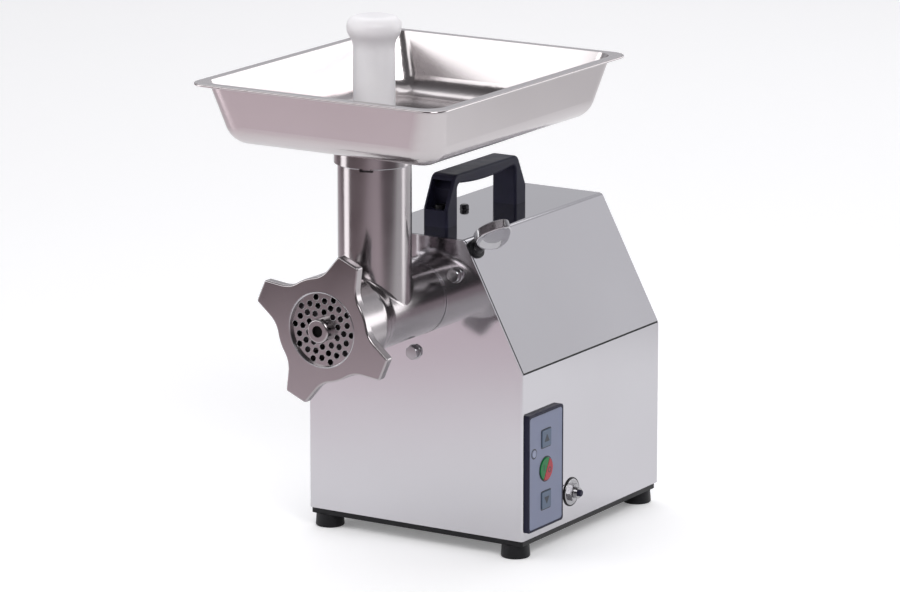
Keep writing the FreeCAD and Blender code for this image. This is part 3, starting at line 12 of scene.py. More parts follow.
import bmesh
import bpy
import numpy as np
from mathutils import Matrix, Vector


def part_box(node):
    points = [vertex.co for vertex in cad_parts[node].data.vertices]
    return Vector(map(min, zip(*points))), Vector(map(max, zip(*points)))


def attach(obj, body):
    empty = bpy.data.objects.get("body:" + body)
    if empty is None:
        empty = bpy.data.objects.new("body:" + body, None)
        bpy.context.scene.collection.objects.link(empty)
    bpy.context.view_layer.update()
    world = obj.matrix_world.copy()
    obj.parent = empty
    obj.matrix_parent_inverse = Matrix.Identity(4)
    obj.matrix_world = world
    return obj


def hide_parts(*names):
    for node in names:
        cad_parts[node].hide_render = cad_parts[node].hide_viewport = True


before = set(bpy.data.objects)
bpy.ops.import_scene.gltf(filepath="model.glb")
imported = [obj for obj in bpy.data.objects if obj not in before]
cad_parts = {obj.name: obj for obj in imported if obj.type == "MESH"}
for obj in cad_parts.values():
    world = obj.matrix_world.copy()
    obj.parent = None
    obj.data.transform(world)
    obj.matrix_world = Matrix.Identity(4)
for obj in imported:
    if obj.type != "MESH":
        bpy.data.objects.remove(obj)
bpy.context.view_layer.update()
mm = 0.001
scene = bpy.context.scene

# %% [markdown]
# ## Camera
#
# The picture was taken from the front right, a little above the tray, through a long lens. A long lens from far
# away keeps the casing's edges nearly parallel. The same view could be had by guessing an angle and zooming, but a
# camera that was fitted to the casing's edges puts every edge on its pixel, so its place is simply written down.

# %% Camera
camera_place = Vector((2353.3, -3762.2, 1250.2)) * mm
camera_aim = Vector((-0.51483, 0.82655, -0.22750))
camera_lens = bpy.data.cameras.new("long_lens")
camera_lens.lens = 208.94
camera_lens.sensor_width = 36.0
camera = bpy.data.objects.new("camera", camera_lens)
camera.location = camera_place
camera.rotation_euler = camera_aim.to_track_quat("-Z", "Y").to_euler()
scene.collection.objects.link(camera)
scene.camera = camera
scene.view_settings.view_transform = "Standard"
print("camera", round(camera_place.length, 2), "m from the origin")

# %% [markdown]
# ## Small helpers
#
# Colours are written as the hex codes that a picture editor shows. Blender counts light, so one function turns a
# code into linear light. Every node tree below is built with one more function, which adds a node, sets it up and
# plugs in whatever feeds it. Three short ones stand on it, for steps that come up again: a smooth climb, a blend of
# two colours and a step of arithmetic.

# %% Colour and node helpers
def linear(code):
    """An sRGB hex code as linear light: c / 12.92 close to black, ((c + 0.055) / 1.055) ** 2.4 above it."""
    srgb = np.array([int(code[i:i + 2], 16) for i in (1, 3, 5)]) / 255
    light = np.where(srgb <= 0.04045, srgb / 12.92, ((srgb + 0.055) / 1.055) ** 2.4)
    return (*light.tolist(), 1.0)


def add(tree, kind, feeds=None, **settings):
    """A new node of that kind with its settings; feeds gives its inputs values, or the sockets that drive them."""
    node = tree.nodes.new("ShaderNode" + kind)
    for name, value in settings.items():
        setattr(node, name, value)
    for name, value in (feeds or {}).items():
        if isinstance(value, bpy.types.NodeSocket):
            tree.links.new(value, node.inputs[name])
        else:
            node.inputs[name].default_value = value
    return node


def soft_step(tree, value, start, end, low=0.0, high=1.0):
    """A smooth climb from low to high while value goes from start to end."""
    limits = {"Value": value, "From Min": start, "From Max": end, "To Min": low, "To Max": high}
    return add(tree, "MapRange", limits, interpolation_type="SMOOTHSTEP").outputs["Result"]


def blend(tree, share, first, second):
    """The first colour where share is 0, the second where it is 1, and a mix between."""
    return add(tree, "MixRGB", {"Fac": share, "Color1": first, "Color2": second}).outputs["Color"]


def maths(tree, operation, *values):
    """One step of arithmetic on numbers or sockets."""
    return add(tree, "Math", dict(enumerate(values)), operation=operation).outputs["Value"]


print("white paper is", [round(c, 3) for c in linear("#F4F3F4")])

# %% [markdown]
# ## The studio
#
# Polished steel has hardly a colour of its own: it shows the room. The room here is the usual table for such a
# picture: a roll of white paper that runs from under the machine away from the camera, mauve boards on the floor
# beside it, soft boxes all round and overhead, a dim wall on the right and a pale wall of light behind. Even light
# from everywhere would be simpler, but it turns every bright surface into the same flat grey. The edge of the paper
# is what draws the dark upper half of the front panel and the dark bands on the round neck, and the boxes draw
# their bright lines. The camera itself sees plain paper: only the steel and the bounced light meet the boards.

# %% Floor
def paper_floor(reach):
    """A flat square sheet at the height of the feet, reach metres to each side."""
    mesh = bpy.data.meshes.new("studio_floor")
    mesh.from_pydata([(-reach, -reach, 0), (reach, -reach, 0), (reach, reach, 0), (-reach, reach, 0)], [],
                     [(0, 1, 2, 3)])
    return bpy.data.objects.new("studio_floor", mesh)


floor = paper_floor(30.0)
scene.collection.objects.link(floor)

# Along the paper, away from the camera, and across it, to the right of the picture
along_paper = Vector((camera_aim.x, camera_aim.y, 0)).normalized()
across_paper = Vector((along_paper.y, -along_paper.x, 0))


def on_paper(along, across, height):
    """A place in metres from the machine's middle: along the paper, across it and above the floor."""
    return along * along_paper + across * across_paper + Vector((0, 0, height))


# Matt paper roll between mauve boards: white where the machine stands, with soft edges. The eye and the steel see
# the paper a little brighter than it lights the machine, so that it is white with plain lamps.
floor_lift = 0.22
paper = bpy.data.materials.new("matt_paper_roll")
paper.use_nodes = True
sheet = paper.node_tree
spot = add(sheet, "TexCoord").outputs["Object"]
far = add(sheet, "VectorMath", {0: spot, 1: along_paper}, operation="DOT_PRODUCT").outputs["Value"]
side = add(sheet, "VectorMath", {0: spot, 1: across_paper}, operation="DOT_PRODUCT").outputs["Value"]
skew = maths(sheet, "MULTIPLY_ADD", far, 0.25, side)

# Where the roll ends, in metres from the machine: in front, on the left and, only in part, on the right
front_end = soft_step(sheet, far, -0.95, -0.42)
left_end = soft_step(sheet, skew, -0.85, -0.13)
right_keep = soft_step(sheet, side, 0.6, 0.95, 1.0, 0.8)
on_roll = maths(sheet, "MULTIPLY", maths(sheet, "MULTIPLY", front_end, left_end), right_keep)

# Boards: pale mauve beside the roll on the left, darker further out, and dark on the right
left_boards = blend(sheet, soft_step(sheet, skew, -1.35, -0.95), linear("#857679"), linear("#CEC1C6"))
boards = blend(sheet, soft_step(sheet, side, 0.25, 0.75), left_boards, linear("#756B6F"))

ray = add(sheet, "LightPath").outputs
paper_share = maths(sheet, "MAXIMUM", on_roll, ray["Is Camera Ray"])
paper_colour = blend(sheet, paper_share, boards, linear("#FAFAFB"))
seen = maths(sheet, "MAXIMUM", ray["Is Camera Ray"], ray["Is Glossy Ray"])
paper_shader = sheet.nodes["Principled BSDF"]
sheet.links.new(paper_colour, paper_shader.inputs["Base Color"])
sheet.links.new(paper_colour, paper_shader.inputs["Emission Color"])
sheet.links.new(maths(sheet, "MULTIPLY", seen, floor_lift), paper_shader.inputs["Emission Strength"])
paper_shader.inputs["Roughness"].default_value = 0.9
paper_shader.inputs["Specular IOR Level"].default_value = 0.1
floor.data.materials.append(paper)
print("paper runs along", [round(c, 3) for c in along_paper])

# %% Room light
world = bpy.data.worlds.new("studio_room")
scene.world = world
world.use_nodes = True
room = world.node_tree
room_light = room.nodes["Background"]
sight = add(room, "TexCoord").outputs["Generated"]
behind = add(room, "VectorMath", {0: sight, 1: along_paper}, operation="DOT_PRODUCT").outputs["Value"]
front_shade, back_shade = (0.13, 0.125, 0.13, 1), (0.62, 0.62, 0.645, 1)
room_shade = blend(room, soft_step(room, behind, -0.2, 0.6), front_shade, back_shade)
room.links.new(room_shade, room_light.inputs["Color"])
room_light.inputs["Strength"].default_value = 1.0


def soft_box(name, place, aim, width, height, glow):
    """A rectangular lamp at place, facing aim, whose face shines with about that glow; sizes in metres."""
    lamp = bpy.data.lights.new(name, "AREA")
    lamp.shape = "RECTANGLE"
    lamp.size, lamp.size_y = width, height
    lamp.energy = glow * 4 * width * height
    box = bpy.data.objects.new(name, lamp)
    box.location = place
    box.rotation_euler = (aim - place).to_track_quat("-Z", "Y").to_euler()
    box.visible_camera = False
    scene.collection.objects.link(box)


middle = Vector((0.0, -0.05, 0.35))
head_side = Vector((0, -0.1, 0.32))
soft_box("top_box", on_paper(0.35, 0.0, 1.75), middle, 1.5, 1.3, 0.34)
soft_box("back_box", on_paper(2.3, 0.0, 2.6), on_paper(2.3, 0.0, 0.0), 3.4, 3.4, 0.78)
soft_box("front_box", on_paper(-1.7, 0.5, 1.6), middle, 1.4, 1.0, 4.6)
soft_box("right_box", on_paper(1.3, 2.7, 0.42), middle, 2.8, 0.75, 1.6)
soft_box("right_wall", on_paper(1.3, 2.8, 0.95), middle, 2.8, 1.5, 0.22)
soft_box("left_box", on_paper(-0.5, -1.15, 0.68), middle, 1.0, 0.56, 1.9)
soft_box("left_strip", on_paper(0.0, -0.95, 0.32), head_side, 0.34, 0.64, 2.0)
soft_box("right_strip", on_paper(0.1, 0.95, 0.32), head_side, 0.2, 0.64, 1.2)

# %% [markdown]
# ## Finishes
#
# Each finish begins with what the real surface is and how it was made. Patterns read the piece's own coordinates,
# which are the same metres everywhere, so a grain of two millimetres is two millimetres on every piece. Plain
# grained finishes share one recipe: two close colours in soft patches, a roughness that wanders between two
# values, and a shallow bump.

# %% Grained finish recipe
def grained(name, shade, tint, metal, rough, patch, grain, depth, sheen=0.5):
    """A material with two close colours in patches, a wandering roughness and a shallow bump; sizes in mm.

    rough is the lowest and highest roughness, patch the size of the colour patches, grain the bump's width and
    depth its height. A noise of scale 1 / size has lumps of about that size.
    """
    material = bpy.data.materials.new(name)
    material.use_nodes = True
    tree = material.node_tree
    shader = tree.nodes["Principled BSDF"]
    place = add(tree, "TexCoord").outputs["Object"]
    patches = add(tree, "TexNoise", {"Vector": place, "Scale": 1 / (patch * mm), "Detail": 3.0}).outputs["Fac"]
    grains = add(tree, "TexNoise", {"Vector": place, "Scale": 1 / (grain * mm), "Detail": 2.0}).outputs["Fac"]
    colour = blend(tree, patches, linear(shade), linear(tint))
    wander = add(tree, "MapRange", {"Value": patches, "From Min": 0.3, "From Max": 0.7, "To Min": rough[0],
                                    "To Max": rough[1]})
    bump = add(tree, "Bump", {"Height": grains, "Distance": depth * mm, "Strength": 1.0})
    tree.links.new(colour, shader.inputs["Base Color"])
    tree.links.new(wander.outputs["Result"], shader.inputs["Roughness"])
    tree.links.new(bump.outputs["Normal"], shader.inputs["Normal"])
    shader.inputs["Metallic"].default_value = metal
    shader.inputs["Specular IOR Level"].default_value = sheen
    return material


finishes = {
    # Stainless sheet, buffed to a mirror: the room shows in it, a little soft and wavy
    "polished_sheet": grained("buffed_stainless_sheet", "#BBB9BD", "#C1C0C4", 1.0, (0.07, 0.11), 120, 160, 0.03),
    # Stainless casting, ground and buffed: softer reflections over a faint orange peel
    "cast_steel": grained("buffed_stainless_casting", "#999597", "#A49FA1", 1.0, (0.15, 0.21), 40, 14, 0.02),
    # Pressed stainless sheet with a satin polish: the room blurs into broad gradients
    "tray_steel": grained("satin_pressed_stainless", "#B7B2B3", "#BFBABB", 1.0, (0.17, 0.21), 90, 12, 0.002),
    # Zinc plated steel, barrel polished: small bright flats with darker edges
    "bright_bolt": grained("plated_bolt_steel", "#949396", "#ABAAAD", 1.0, (0.16, 0.26), 4, 1.5, 0.01),
    # Hobbed and ground gear steel: a grey sheen with oil dark patches
    "gear_steel": grained("ground_gear_steel", "#59585B", "#6B6A6D", 1.0, (0.3, 0.42), 8, 1.5, 0.01),
    # Aluminium casting, machined where it shows: close to the steel beside it, a little duller
    "gearbox_alloy": grained("machined_aluminium_casting", "#AAA6A9", "#B6B2B5", 1.0, (0.2, 0.3), 12, 1.8, 0.01),
    # Varnished iron laminations: dark, half glossy
    "core_iron": grained("varnished_laminations", "#2B2A2C", "#3A393C", 0.6, (0.35, 0.5), 6, 1.2, 0.03),
    # Enamelled copper wire: warm brown red with a lacquer shine
    "copper": grained("enamelled_copper", "#8A4B2B", "#A65C35", 0.7, (0.25, 0.4), 5, 1.1, 0.06),
    # Black stoved paint on steel: deep black with a low orange peel
    "black_plate": grained("black_stoved_paint", "#0D0D10", "#141418", 0.0, (0.35, 0.5), 20, 1.6, 0.02, 0.25),
    # Moulded rubber: black, dusty in places, no clear reflections
    "black_rubber": grained("moulded_black_rubber", "#0E0E11", "#17171B", 0.0, (0.45, 0.6), 9, 1.0, 0.03, 0.25),
    # Glass filled nylon, moulded with a fine spark texture: charcoal with a broad sheen
    "black_plastic": grained("moulded_black_nylon", "#1F1F2E", "#2A2A3D", 0.0, (0.36, 0.48), 14, 1.0, 0.02, 0.12),
    # Turned polyethylene: waxy white, slightly cool
    "white_plastic": grained("turned_polyethylene", "#F1EFF2", "#F8F6F9", 0.0, (0.35, 0.48), 18, 2.0, 0.01),
    # Natural nylon: ivory, waxy
    "nylon": grained("natural_nylon", "#DAD6C8", "#E4E1D6", 0.0, (0.4, 0.5), 10, 1.5, 0.01),
    # Printed polyester film with a matt hard coat: flat lavender grey
    "overlay_grey": grained("printed_matt_film", "#7A8097", "#82889F", 0.0, (0.45, 0.55), 15, 0.9, 0.01, 0.25),
    # Moulded key in slate grey
    "key_grey": grained("moulded_slate_key", "#566478", "#5E6C80", 0.0, (0.4, 0.5), 6, 0.9, 0.01, 0.25),
    "key_green": grained("moulded_green_key", "#0F6A35", "#15743D", 0.0, (0.3, 0.4), 6, 0.9, 0.01, 0.25),
    "key_red": grained("moulded_red_key", "#A02A36", "#AA343F", 0.0, (0.3, 0.4), 6, 0.9, 0.01, 0.25),
    # Screen printing ink, dark slate, half matt
    "print": grained("screen_print_ink", "#262C36", "#2E3540", 0.0, (0.45, 0.55), 6, 0.8, 0.005),
    # Leaf of the lock screw, polished by hand until it shows the room
    "leaf": grained("hand_polished_forging", "#A9A8AB", "#B6B5B8", 1.0, (0.08, 0.14), 12, 4.0, 0.01),
    # Blackened roof bolt: dark metal whose flats catch the light. On the lock screw's stem it is painted shade
    "dark_bolt_and_stem_shade": grained("blackened_steel_and_stem_shade", "#3C3B3E", "#4A494C", 1.0, (0.25, 0.35), 5, 1.5, 0.01),
    # Painted shade: a dark matt colour for the shade in the bore where the stud's end sits
    "greased": grained("painted_bore_shade", "#0B0A0B", "#141213", 0.0, (0.5, 0.65), 3, 1.0, 0.02, 0.1),
    # Clear lamp lens over a pale reflector
    "lamp": grained("moulded_lamp_lens", "#7F86A0", "#8A91A8", 0.0, (0.16, 0.24), 3, 1.0, 0.02),
    # Glass fibre circuit board under green solder mask
    "board": grained("solder_masked_board", "#15502E", "#1C5F38", 0.0, (0.3, 0.42), 6, 1.0, 0.02),
    # Drawn aluminium can: pale, softly brushed
    "can": grained("drawn_aluminium_can", "#B7B7B9", "#C6C6C8", 1.0, (0.28, 0.4), 10, 2.0, 0.01),
}

# Polyethylene lets light in for some millimetres, which softens the pusher's shades
waxy = finishes["white_plastic"].node_tree.nodes["Principled BSDF"].inputs
waxy["Subsurface Weight"].default_value = 0.5
waxy["Subsurface Radius"].default_value = (1.0, 1.0, 1.0)
waxy["Subsurface Scale"].default_value = 8.0 * mm
print(len(finishes), "finishes")

# %% Dress the solids
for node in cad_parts.values():
    for holder in node.material_slots:
        holder.material = finishes[holder.material.name.split(".")[0]]
print("dressed", len(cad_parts), "solids")

# %% [markdown]
# ## From a grid of points to a piece
#
# Every new piece below is one or more grids of points: a shape worked out from two parameters, usually the turn
# round an axis and the way along a profile. Pushing vertices about by hand, or joining ready made primitives,
# would also give the shapes, but a formula keeps the real sizes in sight and gives the same mesh on every run.

# %% Grids and pieces
def grid(points, rows_meet=False, columns_meet=True):
    """The points of a (rows, columns, 3) array and the faces between neighbours.

    A face joins point (i, j) with (i, j + 1), (i + 1, j + 1) and (i + 1, j). Where rows or columns meet, the last
    one is joined to the first.
    """
    rows, columns = points.shape[:2]
    number = np.arange(rows * columns).reshape(rows, columns)
    if rows_meet:
        number = np.concatenate([number, number[:1]], 0)
    if columns_meet:
        number = np.concatenate([number, number[:, :1]], 1)
    faces = np.stack([number[:-1, :-1], number[:-1, 1:], number[1:, 1:], number[1:, :-1]], -1)
    return points.reshape(-1, 3), faces.reshape(-1, 4)


def piece(name, body, finish, grids, instead_of=(), crease=40):
    """One object from grids in millimetres.

    Poles and seams are merged, faces look outwards, and edges bent by more than crease degrees stay sharp.
    """
    first = np.cumsum([0] + [len(points) for points, _ in grids])
    mesh = bpy.data.meshes.new(name)
    mesh.from_pydata((np.concatenate([points for points, _ in grids]) * mm).tolist(), [],
                     np.concatenate([faces + start for (_, faces), start in zip(grids, first)]).tolist())
    work = bmesh.new()
    work.from_mesh(mesh)
    bmesh.ops.remove_doubles(work, verts=work.verts, dist=1e-6)
    bmesh.ops.dissolve_degenerate(work, edges=work.edges, dist=1e-7)
    bmesh.ops.recalc_face_normals(work, faces=work.faces)
    work.to_mesh(mesh)
    work.free()
    mesh.shade_smooth()
    mesh.set_sharp_from_angle(angle=math.radians(crease))
    mesh.materials.append(finish)
    made = bpy.data.objects.new(name, mesh)
    scene.collection.objects.link(made)
    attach(made, body)
    if instead_of:
        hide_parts(*instead_of)
    print(name, len(mesh.polygons), "faces")


def turns(count):
    """Even angles round a full turn, in radians."""
    return np.linspace(0, 2 * np.pi, count, endpoint=False)


def lathe(profile, count=48):
    """A profile of (radius, height) rows turned round the local z axis: x = r cos t, y = r sin t, z = h."""
    radius, height = np.array(profile, float).T[:, :, None]
    turn = turns(count)[None, :]
    return np.stack([radius * np.cos(turn), radius * np.sin(turn), height + 0 * turn], -1)


def rounded(corners, steps=5, closed=False):
    """A polyline through corners (x, y, radius), each turned into an arc.

    An arc begins radius / tan(half the corner's angle) before its corner and swings evenly about its middle, which
    lies radius / sin(half the angle) from the corner on the angle's bisector.
    """
    spots = np.array([corner[:2] for corner in corners], float)
    runs = []
    for i, corner in enumerate(corners):
        if not corner[2] or (not closed and i in (0, len(corners) - 1)):
            runs.append(spots[i:i + 1])
            continue
        before = spots[i - 1] - spots[i]
        after = spots[(i + 1) % len(corners)] - spots[i]
        before, after = before / np.linalg.norm(before), after / np.linalg.norm(after)
        half = math.acos(np.clip(before @ after, -1, 1)) / 2
        bisector = (before + after) / np.linalg.norm(before + after)
        centre = spots[i] + bisector * corner[2] / math.sin(half)
        reach = corner[2] / math.tan(half)
        start, end = spots[i] + before * reach - centre, spots[i] + after * reach - centre
        swing = math.pi - 2 * half
        share = np.linspace(0, 1, steps + 1)[:, None]
        runs.append(centre + (np.sin((1 - share) * swing) * start + np.sin(share * swing) * end) / math.sin(swing))
    return np.concatenate(runs)


def stand(points, origin, out, across=(0, 0, 1)):
    """Local points set up at origin: z runs along out, y as near to across as it can, x to the right of both."""
    out = np.array(out, float) / np.linalg.norm(out)
    up = np.array(across, float) - out * (np.array(across, float) @ out)
    up = up / np.linalg.norm(up)
    right = np.cross(up, out)
    return np.array(origin, float) + points @ np.stack([right, up, out])


front, rear, right_side, upward = (0, -1, 0), (0, 1, 0), (1, 0, 0), (0, 0, 1)
print("helpers ready")

# %% Sizes that several pieces share, in millimetres
head_height = 221.3  # axis of the barrel and the worm
barrel_radius = 33.0
neck_radius = 31.7
neck_depth = -105.4  # axis of the neck
plate_radius = 35.0
rear_face = 191.7
print("head axis at", head_height, "mm, rear face at", rear_face, "mm")

# %% [markdown]
# ## Bolts on the front panel and the roof
#
# Three plated hexagon bolts hold the hub behind the front panel, and a small dark one sits in the roof. The
# solids are plain prisms. A real head is turned after it is pressed: the corners are cut off by a shallow cone, so
# the flats end in curved lips, and a washer lies under it. Cutting a prism with a cone would do it too, but one
# formula is enough: a hexagon's radius is its flat's distance divided by the cosine of the angle from the flat's
# middle, and taking the smaller of that and the cone's radius gives the lips.

# %% Hexagon bolts
def hexagon_head(flats, height, washer, washer_height):
    """A head on a washer: at each height the hexagon's radius, or the chamfer cone's where that is smaller."""
    turn = turns(72)
    hexagon = flats / 2 / np.cos((turn + np.pi / 6) % (np.pi / 3) - np.pi / 6)
    corner = flats / 2 / math.cos(math.pi / 6)
    chamfer, slope = 0.9, 1.1
    rise = np.concatenate([[washer_height], height - np.array([chamfer, 0.7, 0.5, 0.3, 0.1, 0.0])])
    cone = corner + 0.02 - np.clip(rise - (height - chamfer), 0, None) * slope
    radius = np.minimum(hexagon[None, :], cone[:, None])
    inner = np.array([0.5, 0.0])[:, None] * radius[-1]
    radius = np.concatenate([0 * radius[:1], radius, inner])
    rise = np.concatenate([rise[:1], rise, rise[-1:] + 0.1, rise[-1:] + 0.15])
    head = np.stack([radius * np.cos(turn), radius * np.sin(turn), rise[:, None] + 0 * turn], -1)
    ring = lathe(rounded([(0, 0, 0), (washer, 0, 0), (washer, washer_height, washer_height / 2),
                          (0, washer_height, 0)]), 48)
    return head, ring


bolt_circle, panel_face = 49.0, -42.7
bolt_spots = [(bolt_circle * math.cos(t), panel_face, head_height + bolt_circle * math.sin(t))
              for t in np.radians([-90, 30, 150])]
bolt_parts = hexagon_head(flats=11.0, height=5.3, washer=6.9, washer_height=0.8)
bolt_grids = [grid(stand(part, place, front)) for place in bolt_spots for part in bolt_parts]
piece("hub_bolt_heads", "casing", finishes["bright_bolt"], bolt_grids, ["hub_bolts"], 30)
roof_spot = (-17.0, 67.3, 276.8)
roof_parts = hexagon_head(flats=6.8, height=4.4, washer=4.3, washer_height=0.5)
roof_grids = [grid(stand(part, roof_spot, upward, rear)) for part in roof_parts]
piece("roof_bolt_head", "casing", finishes["dark_bolt_and_stem_shade"], roof_grids, ["roof_screw"], 30)

# %% [markdown]
# ## Leaf and stem of the lock screw
#
# The head is locked by a thumb screw whose forged leaf is polished by hand, so it has no edges, only a dished face
# that rolls over into a rim. A rounded box would need many bevels. Here one section, from the middle of a face over
# the rim to the middle of the other face, is swept round an oval that narrows outwards. The stem is turned, with a
# ridged collar. It is a piece of its own so that it can take a darker colour, which is painted shade under the leaf.

# %% Lock screw
lock_turn = math.radians(40.0)
lock_axis = np.array([math.cos(lock_turn), 0.0, math.sin(lock_turn)])
leaf_width = np.array([0.302, 0.883, -0.360])


def forged_leaf(length, width, thick, dish):
    """Rings about the middle: x = a c cos u and y = b c sin u (1 - taper cos u).

    The share c and the height z come from a section that runs from one dished face over the rim to the other.
    """
    taper, roll = 0.36, 1.4
    section = rounded([(0, -thick / 2 + dish, 0), (0.6, -thick / 2 + dish * 0.7, 0.9), (0.93, -thick / 2, 0.03),
                       (1.0, -thick / 2 + roll, 0.5), (1.0, thick / 2 - roll, 0.5), (0.93, thick / 2, 0.03),
                       (0.6, thick / 2 - dish * 0.7, 0.9), (0, thick / 2 - dish, 0)], steps=5)
    c, z, u = section[:, :1], section[:, 1:], turns(64)[None, :]
    y = width / 2 * c * np.sin(u) * (1 - taper * np.cos(u))
    return np.stack([length / 2 * c * np.cos(u), y, z + 0 * u], -1)


lock_foot = np.array([0, -30.7, head_height])
leaf_out = 96.5
leaf_axes = np.stack([lock_axis, leaf_width, np.cross(lock_axis, leaf_width)])
leaf = lock_foot + leaf_out * lock_axis + forged_leaf(length=35.0, width=28.0, thick=10.0, dish=3.6) @ leaf_axes
ridge_way, ridge_pitch = np.linspace(72.0, 78.0, 37), 2.0
ridges = np.stack([5.15 + 0.35 * np.cos(2 * np.pi * ridge_way / ridge_pitch), ridge_way], -1)
stem = lathe(rounded([(0, 27.3, 0), (3.4, 27.3, 0.6), (4.5, 29.0, 0.6), (4.5, 70.0, 0), (5.4, 70.2, 0)]).tolist()
             + ridges.tolist() + [(4.3, 78.8), (3.7, 80.5), (2.6, 82.0), (1.2, 83.5), (0, 84.0)], 40)
stem = stand(stem, lock_foot, lock_axis)
piece("lock_screw_leaf", "thumb_screw", finishes["leaf"], [grid(leaf)], ["lock_screw"], 50)
# The stem's dark colour is painted shade: it stands for the shade round the stem under the leaf
piece("lock_screw_stem", "thumb_screw", finishes["dark_bolt_and_stem_shade"], [grid(stem)], ["lock_screw"], 50)

# %% [markdown]
# ## Rims and blends on the head
#
# Drilling and turning leave small raised or rolled edges, and on polished steel these are the bright thin lines
# that the eye reads as sharpness. They could be bevelled into the solids, but a narrow rolled strip laid on each
# edge does the same with few faces: forty round the holes, one round the ring nut's mouth and one on the neck. A
# casting has no sharp inner corners either, so a ball is rolled round the corner between neck and barrel, and the
# barrel flares out towards the ring nut. A dark disc on the worm stud's end is painted shade in its bore.

# %% Rolled rims
def rolled_rim(inner, outer, height, count):
    """A ring of half round section between two radii: r runs across, h = height sin(pi share)."""
    share = np.linspace(0, 1, 6)
    section = np.stack([inner + (outer - inner) * share, height * np.sin(np.pi * share) + 0.02], -1)
    section = np.concatenate([section, [[outer, -0.3], [inner, -0.3]]])
    return lathe(section, count)


def neck_fillet(radius, count=96):
    """A ball of that radius rolled round the corner between neck and barrel.

    Its centre keeps to both cylinders grown by the radius, and the strip is the arc between the two places that it
    touches.
    """
    turn, share = turns(count)[None, :], np.linspace(0, 1, 9)[:, None, None]
    x, y = (neck_radius + radius) * np.cos(turn), (neck_radius + radius) * np.sin(turn)
    z = np.sqrt((barrel_radius + radius) ** 2 - x ** 2)
    middle_line = np.stack([x, y, z], -1)
    to_barrel = np.stack([-x, 0 * y, -z], -1) / (barrel_radius + radius)
    to_neck = np.stack([-np.cos(turn), -np.sin(turn), 0 * turn], -1)
    bend = np.arccos(np.clip((to_barrel * to_neck).sum(-1, keepdims=True), -1, 1))
    arc = (np.sin((1 - share) * bend) * to_barrel + np.sin(share * bend) * to_neck) / np.sin(bend)
    buried = middle_line + (to_barrel + to_neck) * radius * 1.1
    return np.concatenate([middle_line + radius * arc, buried]) + np.array([0, neck_depth, head_height])


piece("neck_blend", "head", finishes["cast_steel"], [grid(neck_fillet(4.0), rows_meet=True)])
flare_way = np.linspace(0, 1, 25)
flare_end, flare_rise, flare_length, flare_inside = 33.03, 7.0, 27.0, 32.0
flare = np.stack([flare_end + flare_rise * (1 - flare_way ** 2 * (3 - 2 * flare_way)), flare_length * flare_way], -1)
flare = lathe(np.concatenate([flare, [[flare_inside, flare_length], [flare_inside, 0.0]]]), 96)
piece("drum_flare", "head", finishes["cast_steel"],
      [grid(stand(flare, (0, -150.1, head_height), rear), rows_meet=True)])
neck_top = 351.2
bead_turns, bead_angle = np.radians(np.linspace(-58.5, 278.5, 97))[:, None], turns(10)[None, :]
bead_radius = neck_radius + 0.5 * np.cos(bead_angle)
bead = np.stack([bead_radius * np.cos(bead_turns), bead_radius * np.sin(bead_turns) + neck_depth,
                 neck_top + 0.7 * np.sin(bead_angle) + 0 * bead_turns], -1)
bead_ends = bead[[0, -1]].mean(1, keepdims=True) + 0 * bead[[0, -1]]
bead = np.concatenate([bead_ends[:1], bead, bead_ends[1:]])
piece("neck_rim", "head", finishes["bright_bolt"], [grid(bead)])
# A dark disc on the stud's end: painted shade in the bore where it sits
stud_end = lathe(rounded([(0, 0.02, 0), (4.9, 0.02, 0), (4.9, 0.4, 0.2), (2.6, 0.4, 0), (0, 0.1, 0)]), 40)
stud_face = -191.3
piece("stud_end_shade", "feed_worm", finishes["greased"],
      [grid(stand(stud_end, (0, stud_face, head_height), front))])

hole_shares = np.array([0.431, 0.589, 0.708, 0.808])
hole_turns = np.radians(14.5) + np.arange(10)[None, :] * np.pi / 5 + np.arange(4)[:, None] * np.pi / 10
hole_circles = plate_radius * hole_shares[:, None]
plate_face = -186.1
hole_spots = np.stack([hole_circles * np.cos(hole_turns), 0 * hole_turns + plate_face,
                       head_height + hole_circles * np.sin(hole_turns)], -1).reshape(-1, 3)
hole_rim = rolled_rim(inner=2.66, outer=3.1, height=0.14, count=20)
piece("plate_hole_rims", "head", finishes["bright_bolt"],
      [grid(stand(hole_rim, spot, front), rows_meet=True) for spot in hole_spots])
mouth_rim, mouth_face = rolled_rim(inner=31.78, outer=33.0, height=0.35, count=96), -188.8
piece("ring_mouth_rim", "clamp_ring", finishes["bright_bolt"],
      [grid(stand(mouth_rim, (0, mouth_face, head_height), front), rows_meet=True)])

# %% [markdown]
# ## Print on the control panel
#
# The keys stand in a printed film: a dark line frames each square key, the round key and the lamp, and small plain
# signs say what they do. Print could be a pattern in the film's material, but a strip a tenth of a millimetre
# thick keeps its edge crisp at any distance and moves with its key.

# %% Print
print_foot, print_height = -0.05, 0.1


def strip(outer, inner):
    """A flat ring of print between two outlines of equal count, from just below the film to just above it."""
    rings = [np.column_stack([outline, np.full(len(outline), level)])
             for outline, level in ((outer, print_foot), (outer, print_height), (inner, print_height),
                                    (inner, print_foot))]
    return grid(np.stack(rings), rows_meet=True)


def plate_of(outline):
    """A thin plate of print with that outline: from its middle below, up its side, to its middle above."""
    centre = outline.mean(0)
    rows = [np.column_stack([centre + (outline - centre) * share, np.full(len(outline), level)])
            for share, level in ((0, print_foot), (1, print_foot), (1, print_height), (0, print_height))]
    return grid(np.stack(rows))


def square(half, radius):
    """The outline of a square with rounded corners about the origin."""
    return rounded([(-half, -half, radius), (half, -half, radius), (half, half, radius), (-half, half, radius)],
                   closed=True)


def circle(radius, count=64):
    """A circle about the origin."""
    return np.stack([radius * np.cos(turns(count)), radius * np.sin(turns(count))], -1)


def on_panel(made, x, y, z):
    """A local grid set on a face that looks to the right, at height z and depth y."""
    points, faces = made
    return stand(points, (x, y, z), right_side), faces


